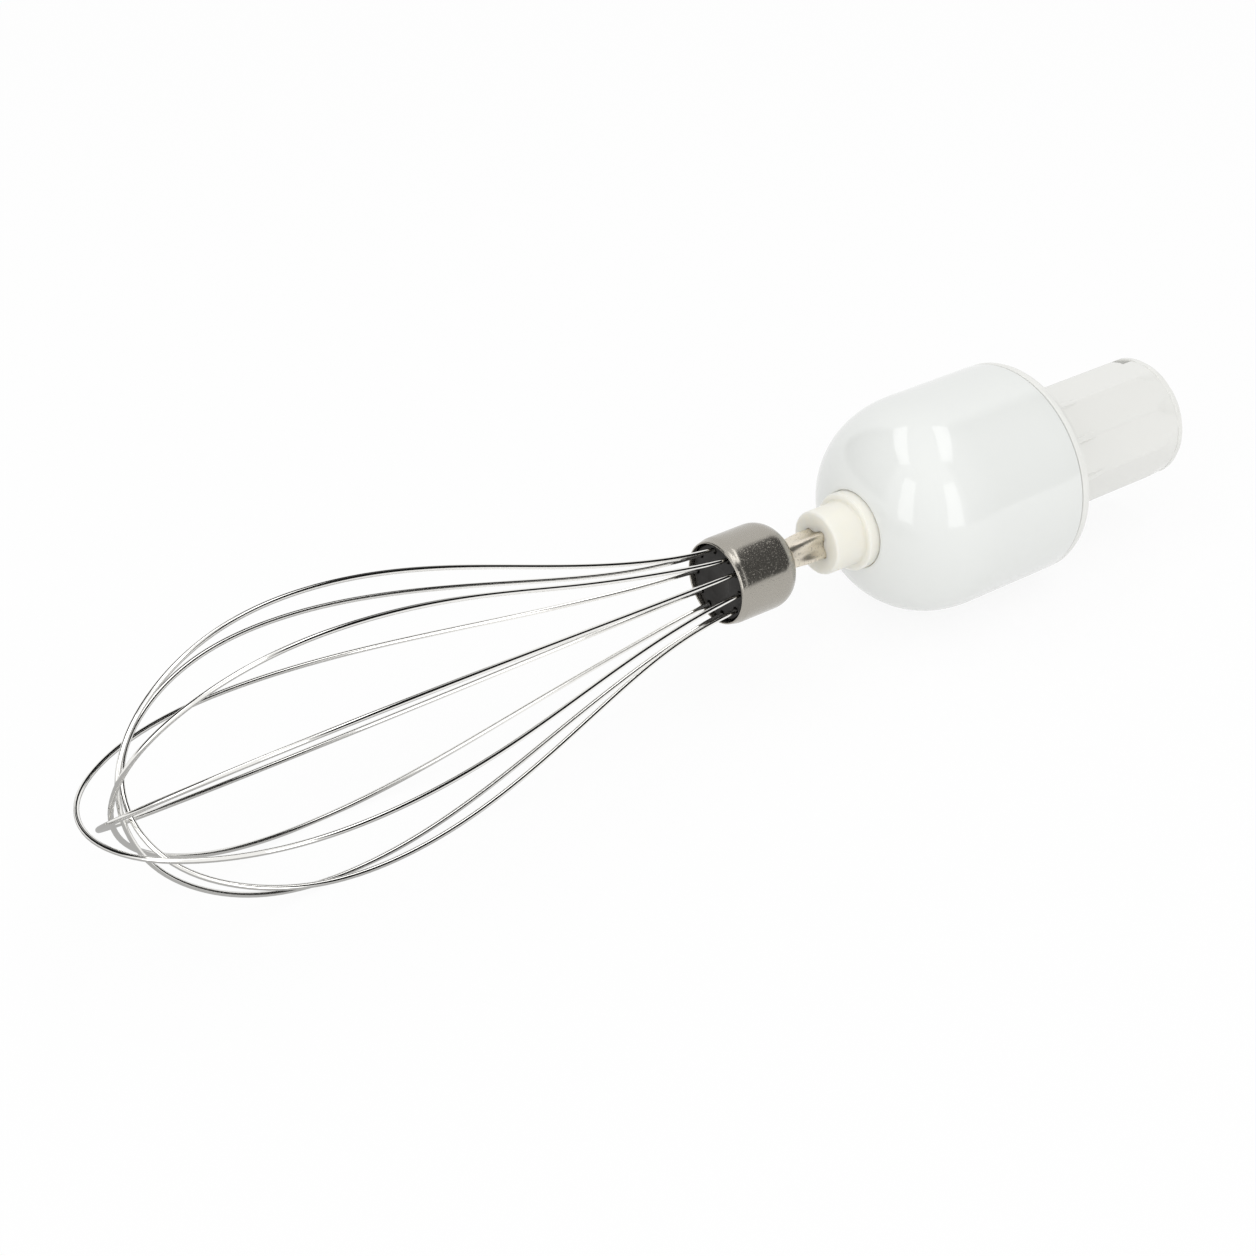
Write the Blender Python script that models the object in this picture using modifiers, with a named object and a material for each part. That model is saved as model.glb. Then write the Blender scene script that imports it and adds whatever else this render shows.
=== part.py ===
"""Immersion blender whisk attachment: a wire whisk that plugs into a planetary gearbox.

Units are metres, +Z is up. The attachment lies on a table, on two wires of the whisk and
the rear edge of its housing, with the whisk's tip towards -X and the neck that plugs into
the hand blender towards +X. The origin is on the table, under the middle of the object.

A station is a distance along the axis, from the neck's open end towards the whisk's tip.
Every piece is modelled in the axis frame: local Z is the station, local X points up and
local Y to +Y. Angles in that frame are measured from up, towards +Y.
"""
import math

import bmesh
import bpy
import numpy as np
from mathutils import Matrix, Vector

MM = 0.001
GAP = 0.3 * MM                    # gap between pieces that touch or run in each other
MERGE = 0.00001
STEPS = 40                        # facets round a large turned piece

# Gearbox housing
HOUSING_RADIUS = 25.0 * MM
HOUSING_WALL = 2.2 * MM
HOUSING_BORE = HOUSING_RADIUS - HOUSING_WALL
SEAM_STATION = 44.4 * MM
DOME_STATION = 68.5 * MM          # where the cylinder turns into the dome
DOME_LENGTH = 24.1 * MM
DOME_POWER = 2.25                 # 2 is an ellipse, a little more makes the dome fuller
NOSE_HOLE_RADIUS = 9.0 * MM
NOSE_BOSS_RADIUS = 11.2 * MM
NOSE_BOSS_STATION = 69.0 * MM
RIB_COUNT = 6
RIB_THICKNESS = 1.5 * MM
KEY_WIDTH = 3.0 * MM              # keys in the housing that stop the ring gear from turning
KEY_HEIGHT = 1.3 * MM

# Rear cover and neck
NECK_SIDES = 10
NECK_CORNER_RADIUS = 15.0 * MM
NECK_END_RADIUS = 14.45 * MM
NECK_BORE_RADIUS = 12.3 * MM
NECK_LIP = 1.3 * MM
WEB_STATION = 33.5 * MM
BEARING_BOSS_RADIUS = 7.6 * MM
BEARING_BOSS_STATIONS = (29.0 * MM, 47.3 * MM)
BEARING_RADIUS = 5.2 * MM
SPIGOT_STATION = 53.3 * MM
CORNER_RIB_STATIONS = (30.4 * MM, 37.6 * MM)
CORNER_RIB_RADIUS = 15.4 * MM
WINDOW_ANGLE = math.radians(40)   # two opposite latch windows behind the lip
WINDOW_STATIONS = (1.6 * MM, 4.8 * MM)
WINDOW_WIDTH = 10.0 * MM

# Planetary gears
MODULE = 1.0 * MM
SUN_TEETH = 12
PLANET_TEETH = 12
RING_TEETH = SUN_TEETH + 2 * PLANET_TEETH
PLANET_COUNT = 3
PRESSURE_ANGLE = math.radians(20)
ADDENDUM = 0.85 * MODULE
RING_ADDENDUM = 0.55 * MODULE
DEDENDUM = 1.15 * MODULE
BACKLASH = 0.24 * MM
GEAR_STATIONS = (54.0 * MM, 61.6 * MM)
PLANET_CIRCLE_RADIUS = (SUN_TEETH + PLANET_TEETH) * MODULE / 2
PIN_RADIUS = 1.5 * MM
SHAFT_RADIUS = 3.0 * MM
CARRIER_RADIUS = 16.8 * MM
CARRIER_PLATE_STATIONS = (50.4 * MM, 53.2 * MM)
CARRIER_FLANGE_STATIONS = (62.2 * MM, 65.6 * MM)
POST_CIRCLE_RADIUS = 13.5 * MM
POST_RADIUS = 2.7 * MM
TENON_RADIUS = 1.5 * MM

# Output socket and drive stem
SOCKET_FACE_STATION = 102.0 * MM
SOCKET_NOSE_RADIUS = 7.3 * MM
SOCKET_SHOULDER_STATION = 93.9 * MM
SOCKET_BORE_STATION = 79.5 * MM
SNAP_RING_STATION = 86.0 * MM
SNAP_WIRE_RADIUS = 0.5 * MM
STEM_LOBES = 4
LOBE_ANGLE = math.radians(-32)
LOBE_SHARPNESS = 1.5              # 1 is a sine wave, more makes the lobes narrower
STEM_LOBE_RADIUS = 3.9 * MM
STEM_VALLEY_RADIUS = 2.45 * MM
STEM_ROUND_RADIUS = 3.0 * MM
STEM_SHOULDER_STATION = 110.8 * MM    # where the lobes have faded into a round shoulder

# Ferrule, plug and wires
FERRULE_BACK = 113.0 * MM
FERRULE_MOUTH = 130.4 * MM
FERRULE_RADIUS = 9.72 * MM
FERRULE_SHEET = 0.7 * MM
FERRULE_SHOULDER = 5.6 * MM
MOUTH_RADIUS = 8.9 * MM
PLUG_RADIUS = 8.5 * MM
PLUG_STATIONS = (117.9 * MM, 129.5 * MM)
WIRE_RADIUS = 0.55 * MM
WIRE_HOLE_RADIUS = 0.95 * MM
WIRE_END_STATION = 119.5 * MM
HUB_RADIUS = 7.2 * MM
HUB_STATION = 127.4 * MM          # where the balloon starts, just inside the plug
LOOP_COUNT = 5
LOOP_ANGLE = math.radians(18)     # plane of the first loop
WIRE_POINTS = 23                  # points of the centre line on each side of a loop

# Balloon outline: share of the way from the hub to the crown, and the radius there
BALLOON = (
    (0.12, 9.84 * MM),
    (0.30, 17.01 * MM),
    (0.50, 25.86 * MM),
    (0.68, 29.94 * MM),
    (0.82, 27.83 * MM),
    (0.92, 20.79 * MM),
    (0.975, 12.43 * MM),
)
# Each loop is bent by hand: crown station, width, turn out of its even place, lean
LOOPS = (
    (270.8 * MM, 0.992, math.radians(-5.4), 0.8 * MM),
    (273.6 * MM, 1.119, math.radians(-5.4), 2.9 * MM),
    (274.6 * MM, 0.991, math.radians(3.5), -0.1 * MM),
    (278.2 * MM, 0.990, math.radians(3.7), 0.5 * MM),
    (269.2 * MM, 0.907, math.radians(1.6), 0.5 * MM),
)
LEAN_LENGTH = 100 * MM            # the lean is the sideways bow at this distance from the hub


def clear_scene():
    for old in list(bpy.data.objects):
        bpy.data.objects.remove(old, do_unlink=True)


def new_collection(name):
    collection = bpy.data.collections.new(name)
    bpy.context.scene.collection.children.link(collection)
    return collection


clear_scene()
PARTS = new_collection("whisk_attachment")
CUTTERS = new_collection("cutters")


def axis_frame(name, parent=None, offset=(0, 0, 0), turn=0.0):
    """An empty on the axis that a group of pieces turns about or slides along."""
    frame = bpy.data.objects.new(name, None)
    frame.empty_display_size = 10 * MM
    PARTS.objects.link(frame)
    frame.parent = parent
    frame.location = offset
    frame.rotation_euler = (0, 0, turn)
    return frame


def place(name, data, parent, angle=0.0, home=None):
    piece = bpy.data.objects.new(name, data)
    piece.parent = parent
    piece.rotation_euler = (0, 0, angle)
    (home or PARTS).objects.link(piece)
    if home is CUTTERS:
        piece.hide_render = True
        piece.display_type = "WIRE"
    return piece


def turned(name, profile, parent, steps=STEPS, home=None):
    """A turned solid. The profile holds (radius, station) and runs down its outer side."""
    mesh = bpy.data.meshes.new(name)
    edges = [(i, i + 1) for i in range(len(profile) - 1)]
    if profile[0][0] > 0:
        edges.append((len(profile) - 1, 0))
    mesh.from_pydata([(radius, 0, station) for radius, station in profile], edges, [])
    piece = place(name, mesh, parent, home=home)
    screw = piece.modifiers.new("turn", "SCREW")
    screw.steps = steps
    screw.render_steps = steps
    screw.use_merge_vertices = True
    screw.merge_threshold = MERGE
    screw.use_smooth_shade = True
    return piece


def outline_plate(name, outlines, stations, parent, home=None):
    """A flat plate between two stations. The first outline is its rim, the rest are holes."""
    curve = bpy.data.curves.new(name, "CURVE")
    curve.dimensions = "2D"
    curve.fill_mode = "BOTH"
    curve.extrude = (stations[1] - stations[0]) / 2
    for outline in outlines:
        spline = curve.splines.new("POLY")
        spline.points.add(len(outline) - 1)
        for point, (x, y) in zip(spline.points, outline):
            point.co = (x, y, 0, 1)
        spline.use_cyclic_u = True
    piece = place(name, curve, parent, home=home)
    piece.location.z = (stations[0] + stations[1]) / 2
    return piece


def as_mesh(piece):
    """A curve object made a closed mesh, so that a Boolean can read it."""
    bpy.context.view_layer.update()
    depsgraph = bpy.context.evaluated_depsgraph_get()
    mesh = bpy.data.meshes.new_from_object(piece.evaluated_get(depsgraph))
    shape = bmesh.new()
    shape.from_mesh(mesh)
    bmesh.ops.remove_doubles(shape, verts=shape.verts, dist=MERGE)
    shape.to_mesh(mesh)
    shape.free()
    name, home = piece.name, piece.users_collection[0]
    parent, world = piece.parent, piece.matrix_world.copy()
    bpy.data.objects.remove(piece, do_unlink=True)
    solid = place(name, mesh, parent, home=home)
    solid.matrix_world = world
    return solid


def rod(name, radius, stations, parent, centre=(0, 0), sides=16, home=None):
    """A straight cylinder along the axis, from a cone primitive with equal radii."""
    mesh = bpy.data.meshes.new(name)
    middle = Matrix.Translation((centre[0], centre[1], (stations[0] + stations[1]) / 2))
    shape = bmesh.new()
    bmesh.ops.create_cone(shape, cap_ends=True, segments=sides, radius1=radius, radius2=radius,
                          depth=stations[1] - stations[0], matrix=middle)
    shape.to_mesh(mesh)
    shape.free()
    return place(name, mesh, parent, home=home)


def block(name, size, centre, parent, angle=0.0, home=None):
    """A box with sides along local X, Y and Z, turned about the axis."""
    mesh = bpy.data.meshes.new(name)
    shape = bmesh.new()
    bmesh.ops.create_cube(shape, size=1.0, matrix=Matrix.Translation(centre) @ Matrix.Diagonal((*size, 1)))
    shape.to_mesh(mesh)
    shape.free()
    return place(name, mesh, parent, angle=angle, home=home)


def combine(piece, other, operation):
    boolean = piece.modifiers.new(other.name, "BOOLEAN")
    boolean.operation = operation
    boolean.object = other
    boolean.solver = "EXACT"


def cut(piece, *tools):
    for tool in tools:
        combine(piece, tool, "DIFFERENCE")


def join(piece, *others):
    for other in others:
        combine(piece, other, "UNION")


def finish(piece, colour, roughness, metallic=0.0):
    """The piece's own plain material."""
    material = bpy.data.materials.new(piece.name)
    material.use_nodes = True
    shader = material.node_tree.nodes["Principled BSDF"]
    shader.inputs["Base Color"].default_value = (*colour, 1)
    shader.inputs["Roughness"].default_value = roughness
    shader.inputs["Metallic"].default_value = metallic
    piece.data.materials.append(material)
    return piece


def white_plastic(piece):
    return finish(piece, (0.86, 0.87, 0.86), 0.18)


def ivory_nylon(piece):
    return finish(piece, (0.85, 0.83, 0.74), 0.42)


def steel(piece):
    return finish(piece, (0.60, 0.60, 0.60), 0.22, 1.0)


def nickel(piece):
    return finish(piece, (0.62, 0.59, 0.54), 0.28, 1.0)


def polar(radius, angle):
    return (radius * math.cos(angle), radius * math.sin(angle))


def circle(radius, count, centre=(0, 0)):
    points = [polar(radius, 2 * math.pi * i / count) for i in range(count)]
    return [(centre[0] + x, centre[1] + y) for x, y in points]


def rounding(centre, radius, start, end, count=4):
    """Points of an arc in a profile. Angles in degrees, 0 is outwards, 90 towards the tip."""
    points = []
    for i in range(count + 1):
        angle = math.radians(start + (end - start) * i / count)
        points.append((centre[0] + radius * math.cos(angle), centre[1] + radius * math.sin(angle)))
    return points


def dome_station(radius, inset=0.0):
    """Station of the dome's surface at a radius, or of a surface inset from it."""
    share = radius / (HOUSING_RADIUS - inset)
    return DOME_STATION + (DOME_LENGTH - inset) * (1 - share ** DOME_POWER) ** (1 / DOME_POWER)


def dome_arc(inner_radius, inset, count):
    """Dome profile from the inner radius out to the cylinder, denser at the cylinder."""
    span = HOUSING_RADIUS - inset - inner_radius
    radii = [inner_radius + span * math.sin(math.pi / 2 * i / count) for i in range(count + 1)]
    return [(radius, dome_station(radius, inset)) for radius in radii]


def involute(angle):
    return math.tan(angle) - angle


def gear_outline(teeth, tip_radius, root_radius, widening, turn=0.0, flank_points=3):
    """Outline with involute teeth. Widening is added to the tooth's width at the pitch circle."""
    pitch_radius = teeth * MODULE / 2
    base_radius = pitch_radius * math.cos(PRESSURE_ANGLE)
    half_tooth = math.pi / (2 * teeth) + widening / (2 * pitch_radius) + involute(PRESSURE_ANGLE)
    start_radius = max(root_radius, base_radius)
    flank = []
    if root_radius < base_radius:
        flank.append((root_radius, half_tooth))
    for i in range(flank_points):
        radius = start_radius + (tip_radius - start_radius) * i / (flank_points - 1)
        flank.append((radius, half_tooth - involute(math.acos(base_radius / radius))))
    outline = []
    for tooth in range(teeth):
        middle = turn + 2 * math.pi * tooth / teeth
        outline += [polar(radius, middle - half) for radius, half in flank]
        outline += [polar(radius, middle + half) for radius, half in reversed(flank)]
    return outline


def lobed_outline(lobes, lobe_radius, valley_radius, turn, count=32):
    """Closed outline with rounded lobes, the first of them at the angle turn."""
    points = []
    for i in range(count):
        angle = 2 * math.pi * i / count
        share = (0.5 + 0.5 * math.cos(lobes * angle)) ** LOBE_SHARPNESS
        points.append(polar(valley_radius + (lobe_radius - valley_radius) * share, angle + turn))
    return points


def widened(outline, distance):
    """A closed outline with every point moved outwards at right angles to it."""
    points = []
    for i, (x, y) in enumerate(outline):
        before, after = outline[i - 1], outline[(i + 1) % len(outline)]
        along = Vector((after[0] - before[0], after[1] - before[1])).normalized()
        points.append((x + distance * along.y, y - distance * along.x))
    return points


def smooth_curve(points, samples):
    """Evenly spaced points on a natural cubic spline through the given points."""
    knots = np.array(points)
    steps = np.linalg.norm(np.diff(knots, axis=0), axis=1)
    lengths = np.concatenate([[0], np.cumsum(steps)])
    count = len(knots)
    system = np.eye(count)
    bends = np.zeros_like(knots)
    for i in range(1, count - 1):
        before, after = steps[i - 1], steps[i]
        system[i, i - 1:i + 2] = (before, 2 * (before + after), after)
        bends[i] = 6 * ((knots[i + 1] - knots[i]) / after - (knots[i] - knots[i - 1]) / before)
    bends = np.linalg.solve(system, bends)
    curve = []
    for length in np.linspace(0, lengths[-1], samples):
        i = min(int(np.searchsorted(lengths, length, side="right")) - 1, count - 2)
        step = steps[i]
        left, right = lengths[i + 1] - length, length - lengths[i]
        curve.append(
            (bends[i] * left ** 3 + bends[i + 1] * right ** 3) / (6 * step)
            + (knots[i] / step - bends[i] * step / 6) * left
            + (knots[i + 1] / step - bends[i + 1] * step / 6) * right
        )
    return curve


def front_housing(axis):
    """Moulded dome and cylinder, with the nose bearing, its ribs and the ring gear's keys."""
    lip = 0.5 * MM
    edge = 0.3 * MM
    rim_station = dome_station(NOSE_HOLE_RADIUS + lip)
    outside = dome_arc(NOSE_HOLE_RADIUS + lip, 0, 9)
    inside = dome_arc(NOSE_BOSS_RADIUS, HOUSING_WALL, 6)
    profile = [(NOSE_HOLE_RADIUS, rim_station - lip / 2)] + outside + [
        (HOUSING_RADIUS, SEAM_STATION + GAP + edge),
        (HOUSING_RADIUS - edge, SEAM_STATION + GAP),
        (HOUSING_BORE, SEAM_STATION + GAP),
    ] + inside[::-1] + [
        (NOSE_BOSS_RADIUS, NOSE_BOSS_STATION),
        (NOSE_HOLE_RADIUS, NOSE_BOSS_STATION),
    ]
    housing = turned("front_housing", profile, axis)
    join(housing, *[boss_rib(i, axis) for i in range(RIB_COUNT)])
    for i in range(RIB_COUNT):
        size = (KEY_HEIGHT + HOUSING_WALL / 2, KEY_WIDTH, 8.4 * MM)
        middle = (HOUSING_BORE + HOUSING_WALL / 4 - KEY_HEIGHT / 2, 0, 58.0 * MM)
        join(housing, block(f"key_{i}", size, middle, axis, 2 * math.pi * i / RIB_COUNT, CUTTERS))
    return white_plastic(housing)


def boss_rib(index, axis):
    """A rib from the nose bearing out into the dome's wall."""
    foot = NOSE_BOSS_RADIUS - 0.8 * MM
    wall = dome_arc(foot, HOUSING_WALL / 2, 8)[:-2]
    outline = [(foot, 72.0 * MM), (wall[-1][0], wall[-1][1] - 1.0 * MM)] + wall[::-1]
    half = RIB_THICKNESS / 2
    rib = outline_plate(f"boss_rib_{index}", [outline], (-half, half), axis, CUTTERS)
    rib.rotation_euler = (math.pi / 2, 0, 2 * math.pi * (index + 0.5) / RIB_COUNT)
    return as_mesh(rib)


def neck_core(axis):
    """Ten-sided prism whose corners fade into a round end band with a thin lip."""
    base = 38.0 * MM
    corner = math.pi / NECK_SIDES
    outline = [polar(NECK_CORNER_RADIUS, corner + 2 * math.pi * i / NECK_SIDES) for i in range(NECK_SIDES)]
    neck = as_mesh(outline_plate("neck_prism", [outline], (-1 * MM, base), axis, CUTTERS))
    outside = NECK_CORNER_RADIUS + 0.4 * MM
    groove = 0.25 * MM
    profile = [
        (0, base + 1 * MM),
        (outside, base + 1 * MM),
        (outside, 9.0 * MM),
        (NECK_CORNER_RADIUS - 0.15 * MM, 6.5 * MM),
        (NECK_END_RADIUS + 0.05 * MM, 4.2 * MM),
        (NECK_END_RADIUS - 0.1 * MM, NECK_LIP + 0.4 * MM),
        (NECK_END_RADIUS - groove, NECK_LIP + 0.3 * MM),
        (NECK_END_RADIUS - groove, NECK_LIP + 0.1 * MM),
        (NECK_END_RADIUS, NECK_LIP - 0.1 * MM),
        (NECK_END_RADIUS, 0.3 * MM),
        (NECK_END_RADIUS - 0.3 * MM, 0),
        (0, 0),
    ]
    combine(neck, turned("neck_envelope", profile, axis, steps=50, home=CUTTERS), "INTERSECT")
    return neck


def rear_cover(axis):
    """Moulded cover: spigot, flange, shallow dome, neck, web and the input bearing's boss."""
    flange_radius = HOUSING_RADIUS - 0.1 * MM
    spigot_radius = HOUSING_BORE - GAP
    spigot_bore = spigot_radius - 1.8 * MM
    edge = 1.1 * MM
    profile = [
        (0, BEARING_BOSS_STATIONS[1]),
        (BEARING_BOSS_RADIUS, BEARING_BOSS_STATIONS[1]),
        (BEARING_BOSS_RADIUS, 38.8 * MM),
        (14.6 * MM, 38.8 * MM),
        (spigot_bore, 42.8 * MM),
        (spigot_bore, SPIGOT_STATION),
        (spigot_radius, SPIGOT_STATION),
        (spigot_radius, SEAM_STATION),
        (flange_radius, SEAM_STATION),
    ] + rounding((flange_radius - edge, 43.2 * MM), edge, 0, -60, 3) + [
        (20.5 * MM, 40.2 * MM),
        (17.2 * MM, 38.8 * MM),
        (16.0 * MM, 38.1 * MM),
        (15.5 * MM, 37.2 * MM),
        (15.2 * MM, 36.2 * MM),
        (0, 36.2 * MM),
    ]
    cover = turned("rear_cover", profile, axis)
    join(cover, neck_core(axis))
    low, high = CORNER_RIB_STATIONS
    for i in range(NECK_SIDES):
        size = (2.0 * MM, 1.1 * MM, high - low)
        middle = (CORNER_RIB_RADIUS - 1.0 * MM, 0, (low + high) / 2)
        angle = math.pi / NECK_SIDES + 2 * math.pi * i / NECK_SIDES
        join(cover, block(f"corner_rib_{i}", size, middle, axis, angle, CUTTERS))
    boss_end = BEARING_BOSS_STATIONS[0]
    hollow = [
        (0, boss_end),
        (BEARING_BOSS_RADIUS, boss_end),
        (BEARING_BOSS_RADIUS, WEB_STATION),
        (NECK_BORE_RADIUS, WEB_STATION),
        (NECK_BORE_RADIUS, 1.0 * MM),
        (NECK_BORE_RADIUS + 0.5 * MM, -0.01 * MM),
        (NECK_BORE_RADIUS + 0.5 * MM, -2 * MM),
        (0, -2 * MM),
    ]
    cut(cover, turned("neck_hollow", hollow, axis, home=CUTTERS))
    cut(cover, rod("bearing_bore", BEARING_RADIUS + GAP, (27 * MM, 50 * MM), axis, sides=32, home=CUTTERS))
    low, high = WINDOW_STATIONS
    for i in range(2):
        size = (6 * MM, WINDOW_WIDTH, high - low)
        middle = (NECK_END_RADIUS, 0, (low + high) / 2)
        cut(cover, block(f"window_{i}", size, middle, axis, WINDOW_ANGLE + math.pi * i, CUTTERS))
    return white_plastic(cover)


def ring_gear(axis):
    """Fixed internal gear, notched for the housing's keys."""
    radius = HOUSING_BORE - GAP
    pitch_radius = RING_TEETH * MODULE / 2
    teeth = gear_outline(RING_TEETH, pitch_radius + DEDENDUM, pitch_radius - RING_ADDENDUM,
                         BACKLASH / 2, turn=math.pi / RING_TEETH)
    rim = []
    half_notch = math.asin((KEY_WIDTH / 2 + GAP) / radius)
    notch_radius = HOUSING_BORE - KEY_HEIGHT - GAP
    span = 2 * math.pi / RIB_COUNT
    for i in range(RIB_COUNT):
        start = span * i + half_notch
        free = span - 2 * half_notch
        rim += [polar(radius, start + free * j / 6) for j in range(7)]
        rim += [polar(notch_radius, span * (i + 1) - half_notch), polar(notch_radius, span * (i + 1) + half_notch)]
    gear = outline_plate("ring_gear", [rim, teeth], (GEAR_STATIONS[0] - 0.2 * MM, GEAR_STATIONS[1]), axis)
    return finish(gear, (0.80, 0.80, 0.76), 0.45)


def output_socket(axis):
    """Nylon output: nose with a four-lobed bore, journal, planet flange and three posts."""
    journal = NOSE_HOLE_RADIUS - 0.35 * MM
    groove_radius = 7.0 * MM
    groove_half = 0.9 * MM
    edge = 0.6 * MM
    profile = [(0, SOCKET_FACE_STATION)] + rounding(
        (SOCKET_NOSE_RADIUS - edge, SOCKET_FACE_STATION - edge), edge, 90, 0, 3) + [
        (SOCKET_NOSE_RADIUS, SOCKET_SHOULDER_STATION + 0.4 * MM),
        (SOCKET_NOSE_RADIUS + 0.3 * MM, SOCKET_SHOULDER_STATION),
        (journal - 0.3 * MM, SOCKET_SHOULDER_STATION),
        (journal, SOCKET_SHOULDER_STATION - 0.3 * MM),
        (journal, SNAP_RING_STATION + groove_half),
        (groove_radius, SNAP_RING_STATION + groove_half),
        (groove_radius, SNAP_RING_STATION - groove_half),
        (journal, SNAP_RING_STATION - groove_half),
        (journal, CARRIER_FLANGE_STATIONS[1]),
        (CARRIER_RADIUS, CARRIER_FLANGE_STATIONS[1]),
        (CARRIER_RADIUS, CARRIER_FLANGE_STATIONS[0]),
        (0, CARRIER_FLANGE_STATIONS[0]),
    ]
    socket = turned("output_socket", profile, axis, steps=32)
    plate_low, plate_high = CARRIER_PLATE_STATIONS
    for i in range(PLANET_COUNT):
        centre = polar(POST_CIRCLE_RADIUS, 2 * math.pi * (i + 0.5) / PLANET_COUNT)
        post = (plate_high + GAP, CARRIER_FLANGE_STATIONS[0] + 1 * MM)
        join(socket, rod(f"post_{i}", POST_RADIUS, post, axis, centre, home=CUTTERS))
        tenon = (plate_low - 0.4 * MM, plate_high + 1 * MM)
        join(socket, rod(f"tenon_{i}", TENON_RADIUS, tenon, axis, centre, sides=12, home=CUTTERS))
        centre = polar(PLANET_CIRCLE_RADIUS, 2 * math.pi * i / PLANET_COUNT)
        hole = (CARRIER_FLANGE_STATIONS[0] - 1 * MM, CARRIER_FLANGE_STATIONS[1] - 0.8 * MM)
        cut(socket, rod(f"pin_hole_{i}", PIN_RADIUS + GAP, hole, axis, centre, home=CUTTERS))
    outline = widened(lobed_outline(STEM_LOBES, STEM_LOBE_RADIUS, STEM_VALLEY_RADIUS, LOBE_ANGLE), GAP)
    bore = outline_plate("lobed_bore", [outline], (SOCKET_BORE_STATION, SOCKET_FACE_STATION + 1 * MM),
                         axis, CUTTERS)
    cut(socket, as_mesh(bore))
    slot = (2 * SOCKET_NOSE_RADIUS + 4 * MM, 1.2 * MM, 6 * MM)
    cut(socket, block("finger_slot", slot, (0, 0, SNAP_RING_STATION), axis,
                      LOBE_ANGLE + math.pi / STEM_LOBES, CUTTERS))
    pilot = (CARRIER_FLANGE_STATIONS[0] - 1 * MM, CARRIER_FLANGE_STATIONS[1] - 0.4 * MM)
    cut(socket, rod("pilot_hole", 2.3 * MM, pilot, axis, home=CUTTERS))
    return ivory_nylon(socket)


def snap_ring(axis):
    """Open spring ring in the journal's groove, which closes the slotted sleeve on the stem."""
    curve = bpy.data.curves.new("snap_ring", "CURVE")
    curve.dimensions = "3D"
    curve.bevel_depth = SNAP_WIRE_RADIUS
    curve.bevel_resolution = 1
    curve.use_fill_caps = True
    count = 25
    opening = math.radians(30)
    spline = curve.splines.new("POLY")
    spline.points.add(count - 1)
    for i, point in enumerate(spline.points):
        angle = opening / 2 + (2 * math.pi - opening) * i / (count - 1)
        point.co = (*polar(7.85 * MM, angle), SNAP_RING_STATION, 1)
    return steel(place("snap_ring", curve, axis))


def carrier_plate(axis):
    """Rear plate of the planet carrier, held on the socket's three posts."""
    holes = [circle(SHAFT_RADIUS + 0.5 * MM, 20)]
    for i in range(PLANET_COUNT):
        angle = 2 * math.pi * i / PLANET_COUNT
        holes.append(circle(PIN_RADIUS + GAP, 12, polar(PLANET_CIRCLE_RADIUS, angle)))
        post_angle = angle + math.pi / PLANET_COUNT
        holes.append(circle(TENON_RADIUS + GAP, 12, polar(POST_CIRCLE_RADIUS, post_angle)))
    plate = outline_plate("carrier_plate", [circle(CARRIER_RADIUS, 36)] + holes, CARRIER_PLATE_STATIONS, axis)
    return finish(plate, (0.80, 0.79, 0.72), 0.45)


def planet_gear(index, axis):
    pitch_radius = PLANET_TEETH * MODULE / 2
    teeth = gear_outline(PLANET_TEETH, pitch_radius + ADDENDUM, pitch_radius - DEDENDUM,
                         -BACKLASH / 2, turn=math.pi / PLANET_TEETH)
    gear = outline_plate(f"planet_gear_{index + 1}", [teeth, circle(PIN_RADIUS + GAP, 12)],
                         GEAR_STATIONS, axis)
    return finish(gear, (0.84, 0.83, 0.78), 0.4)


def planet_pin(index, axis):
    centre = polar(PLANET_CIRCLE_RADIUS, 2 * math.pi * index / PLANET_COUNT)
    stations = (CARRIER_PLATE_STATIONS[0], CARRIER_FLANGE_STATIONS[1] - 1.1 * MM)
    return steel(rod(f"planet_pin_{index + 1}", PIN_RADIUS, stations, axis, centre, sides=12))


def sun_shaft(axis):
    """Steel input shaft: flat for the coupling, clip groove, sun pinion and pilot."""
    edge = 0.4 * MM
    profile = [
        (0, 64.6 * MM),
        (1.7 * MM, 64.6 * MM),
        (2.0 * MM, 64.3 * MM),
        (2.0 * MM, 61.4 * MM),
        (SHAFT_RADIUS, 61.4 * MM),
        (SHAFT_RADIUS, 28.6 * MM),
        (2.4 * MM, 28.6 * MM),
        (2.4 * MM, 27.6 * MM),
        (SHAFT_RADIUS, 27.6 * MM),
        (SHAFT_RADIUS, 17.0 * MM + edge),
        (SHAFT_RADIUS - edge, 17.0 * MM),
        (0, 17.0 * MM),
    ]
    shaft = turned("sun_shaft", profile, axis, steps=20)
    pitch_radius = SUN_TEETH * MODULE / 2
    teeth = gear_outline(SUN_TEETH, pitch_radius + ADDENDUM, pitch_radius - DEDENDUM, -BACKLASH / 2)
    join(shaft, as_mesh(outline_plate("sun_teeth", [teeth], GEAR_STATIONS, axis, CUTTERS)))
    flat = (2 * MM, 8 * MM, 9.5 * MM)
    cut(shaft, block("shaft_flat", flat, (3.3 * MM, 0, 21.25 * MM), axis, home=CUTTERS))
    return steel(shaft)


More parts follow.
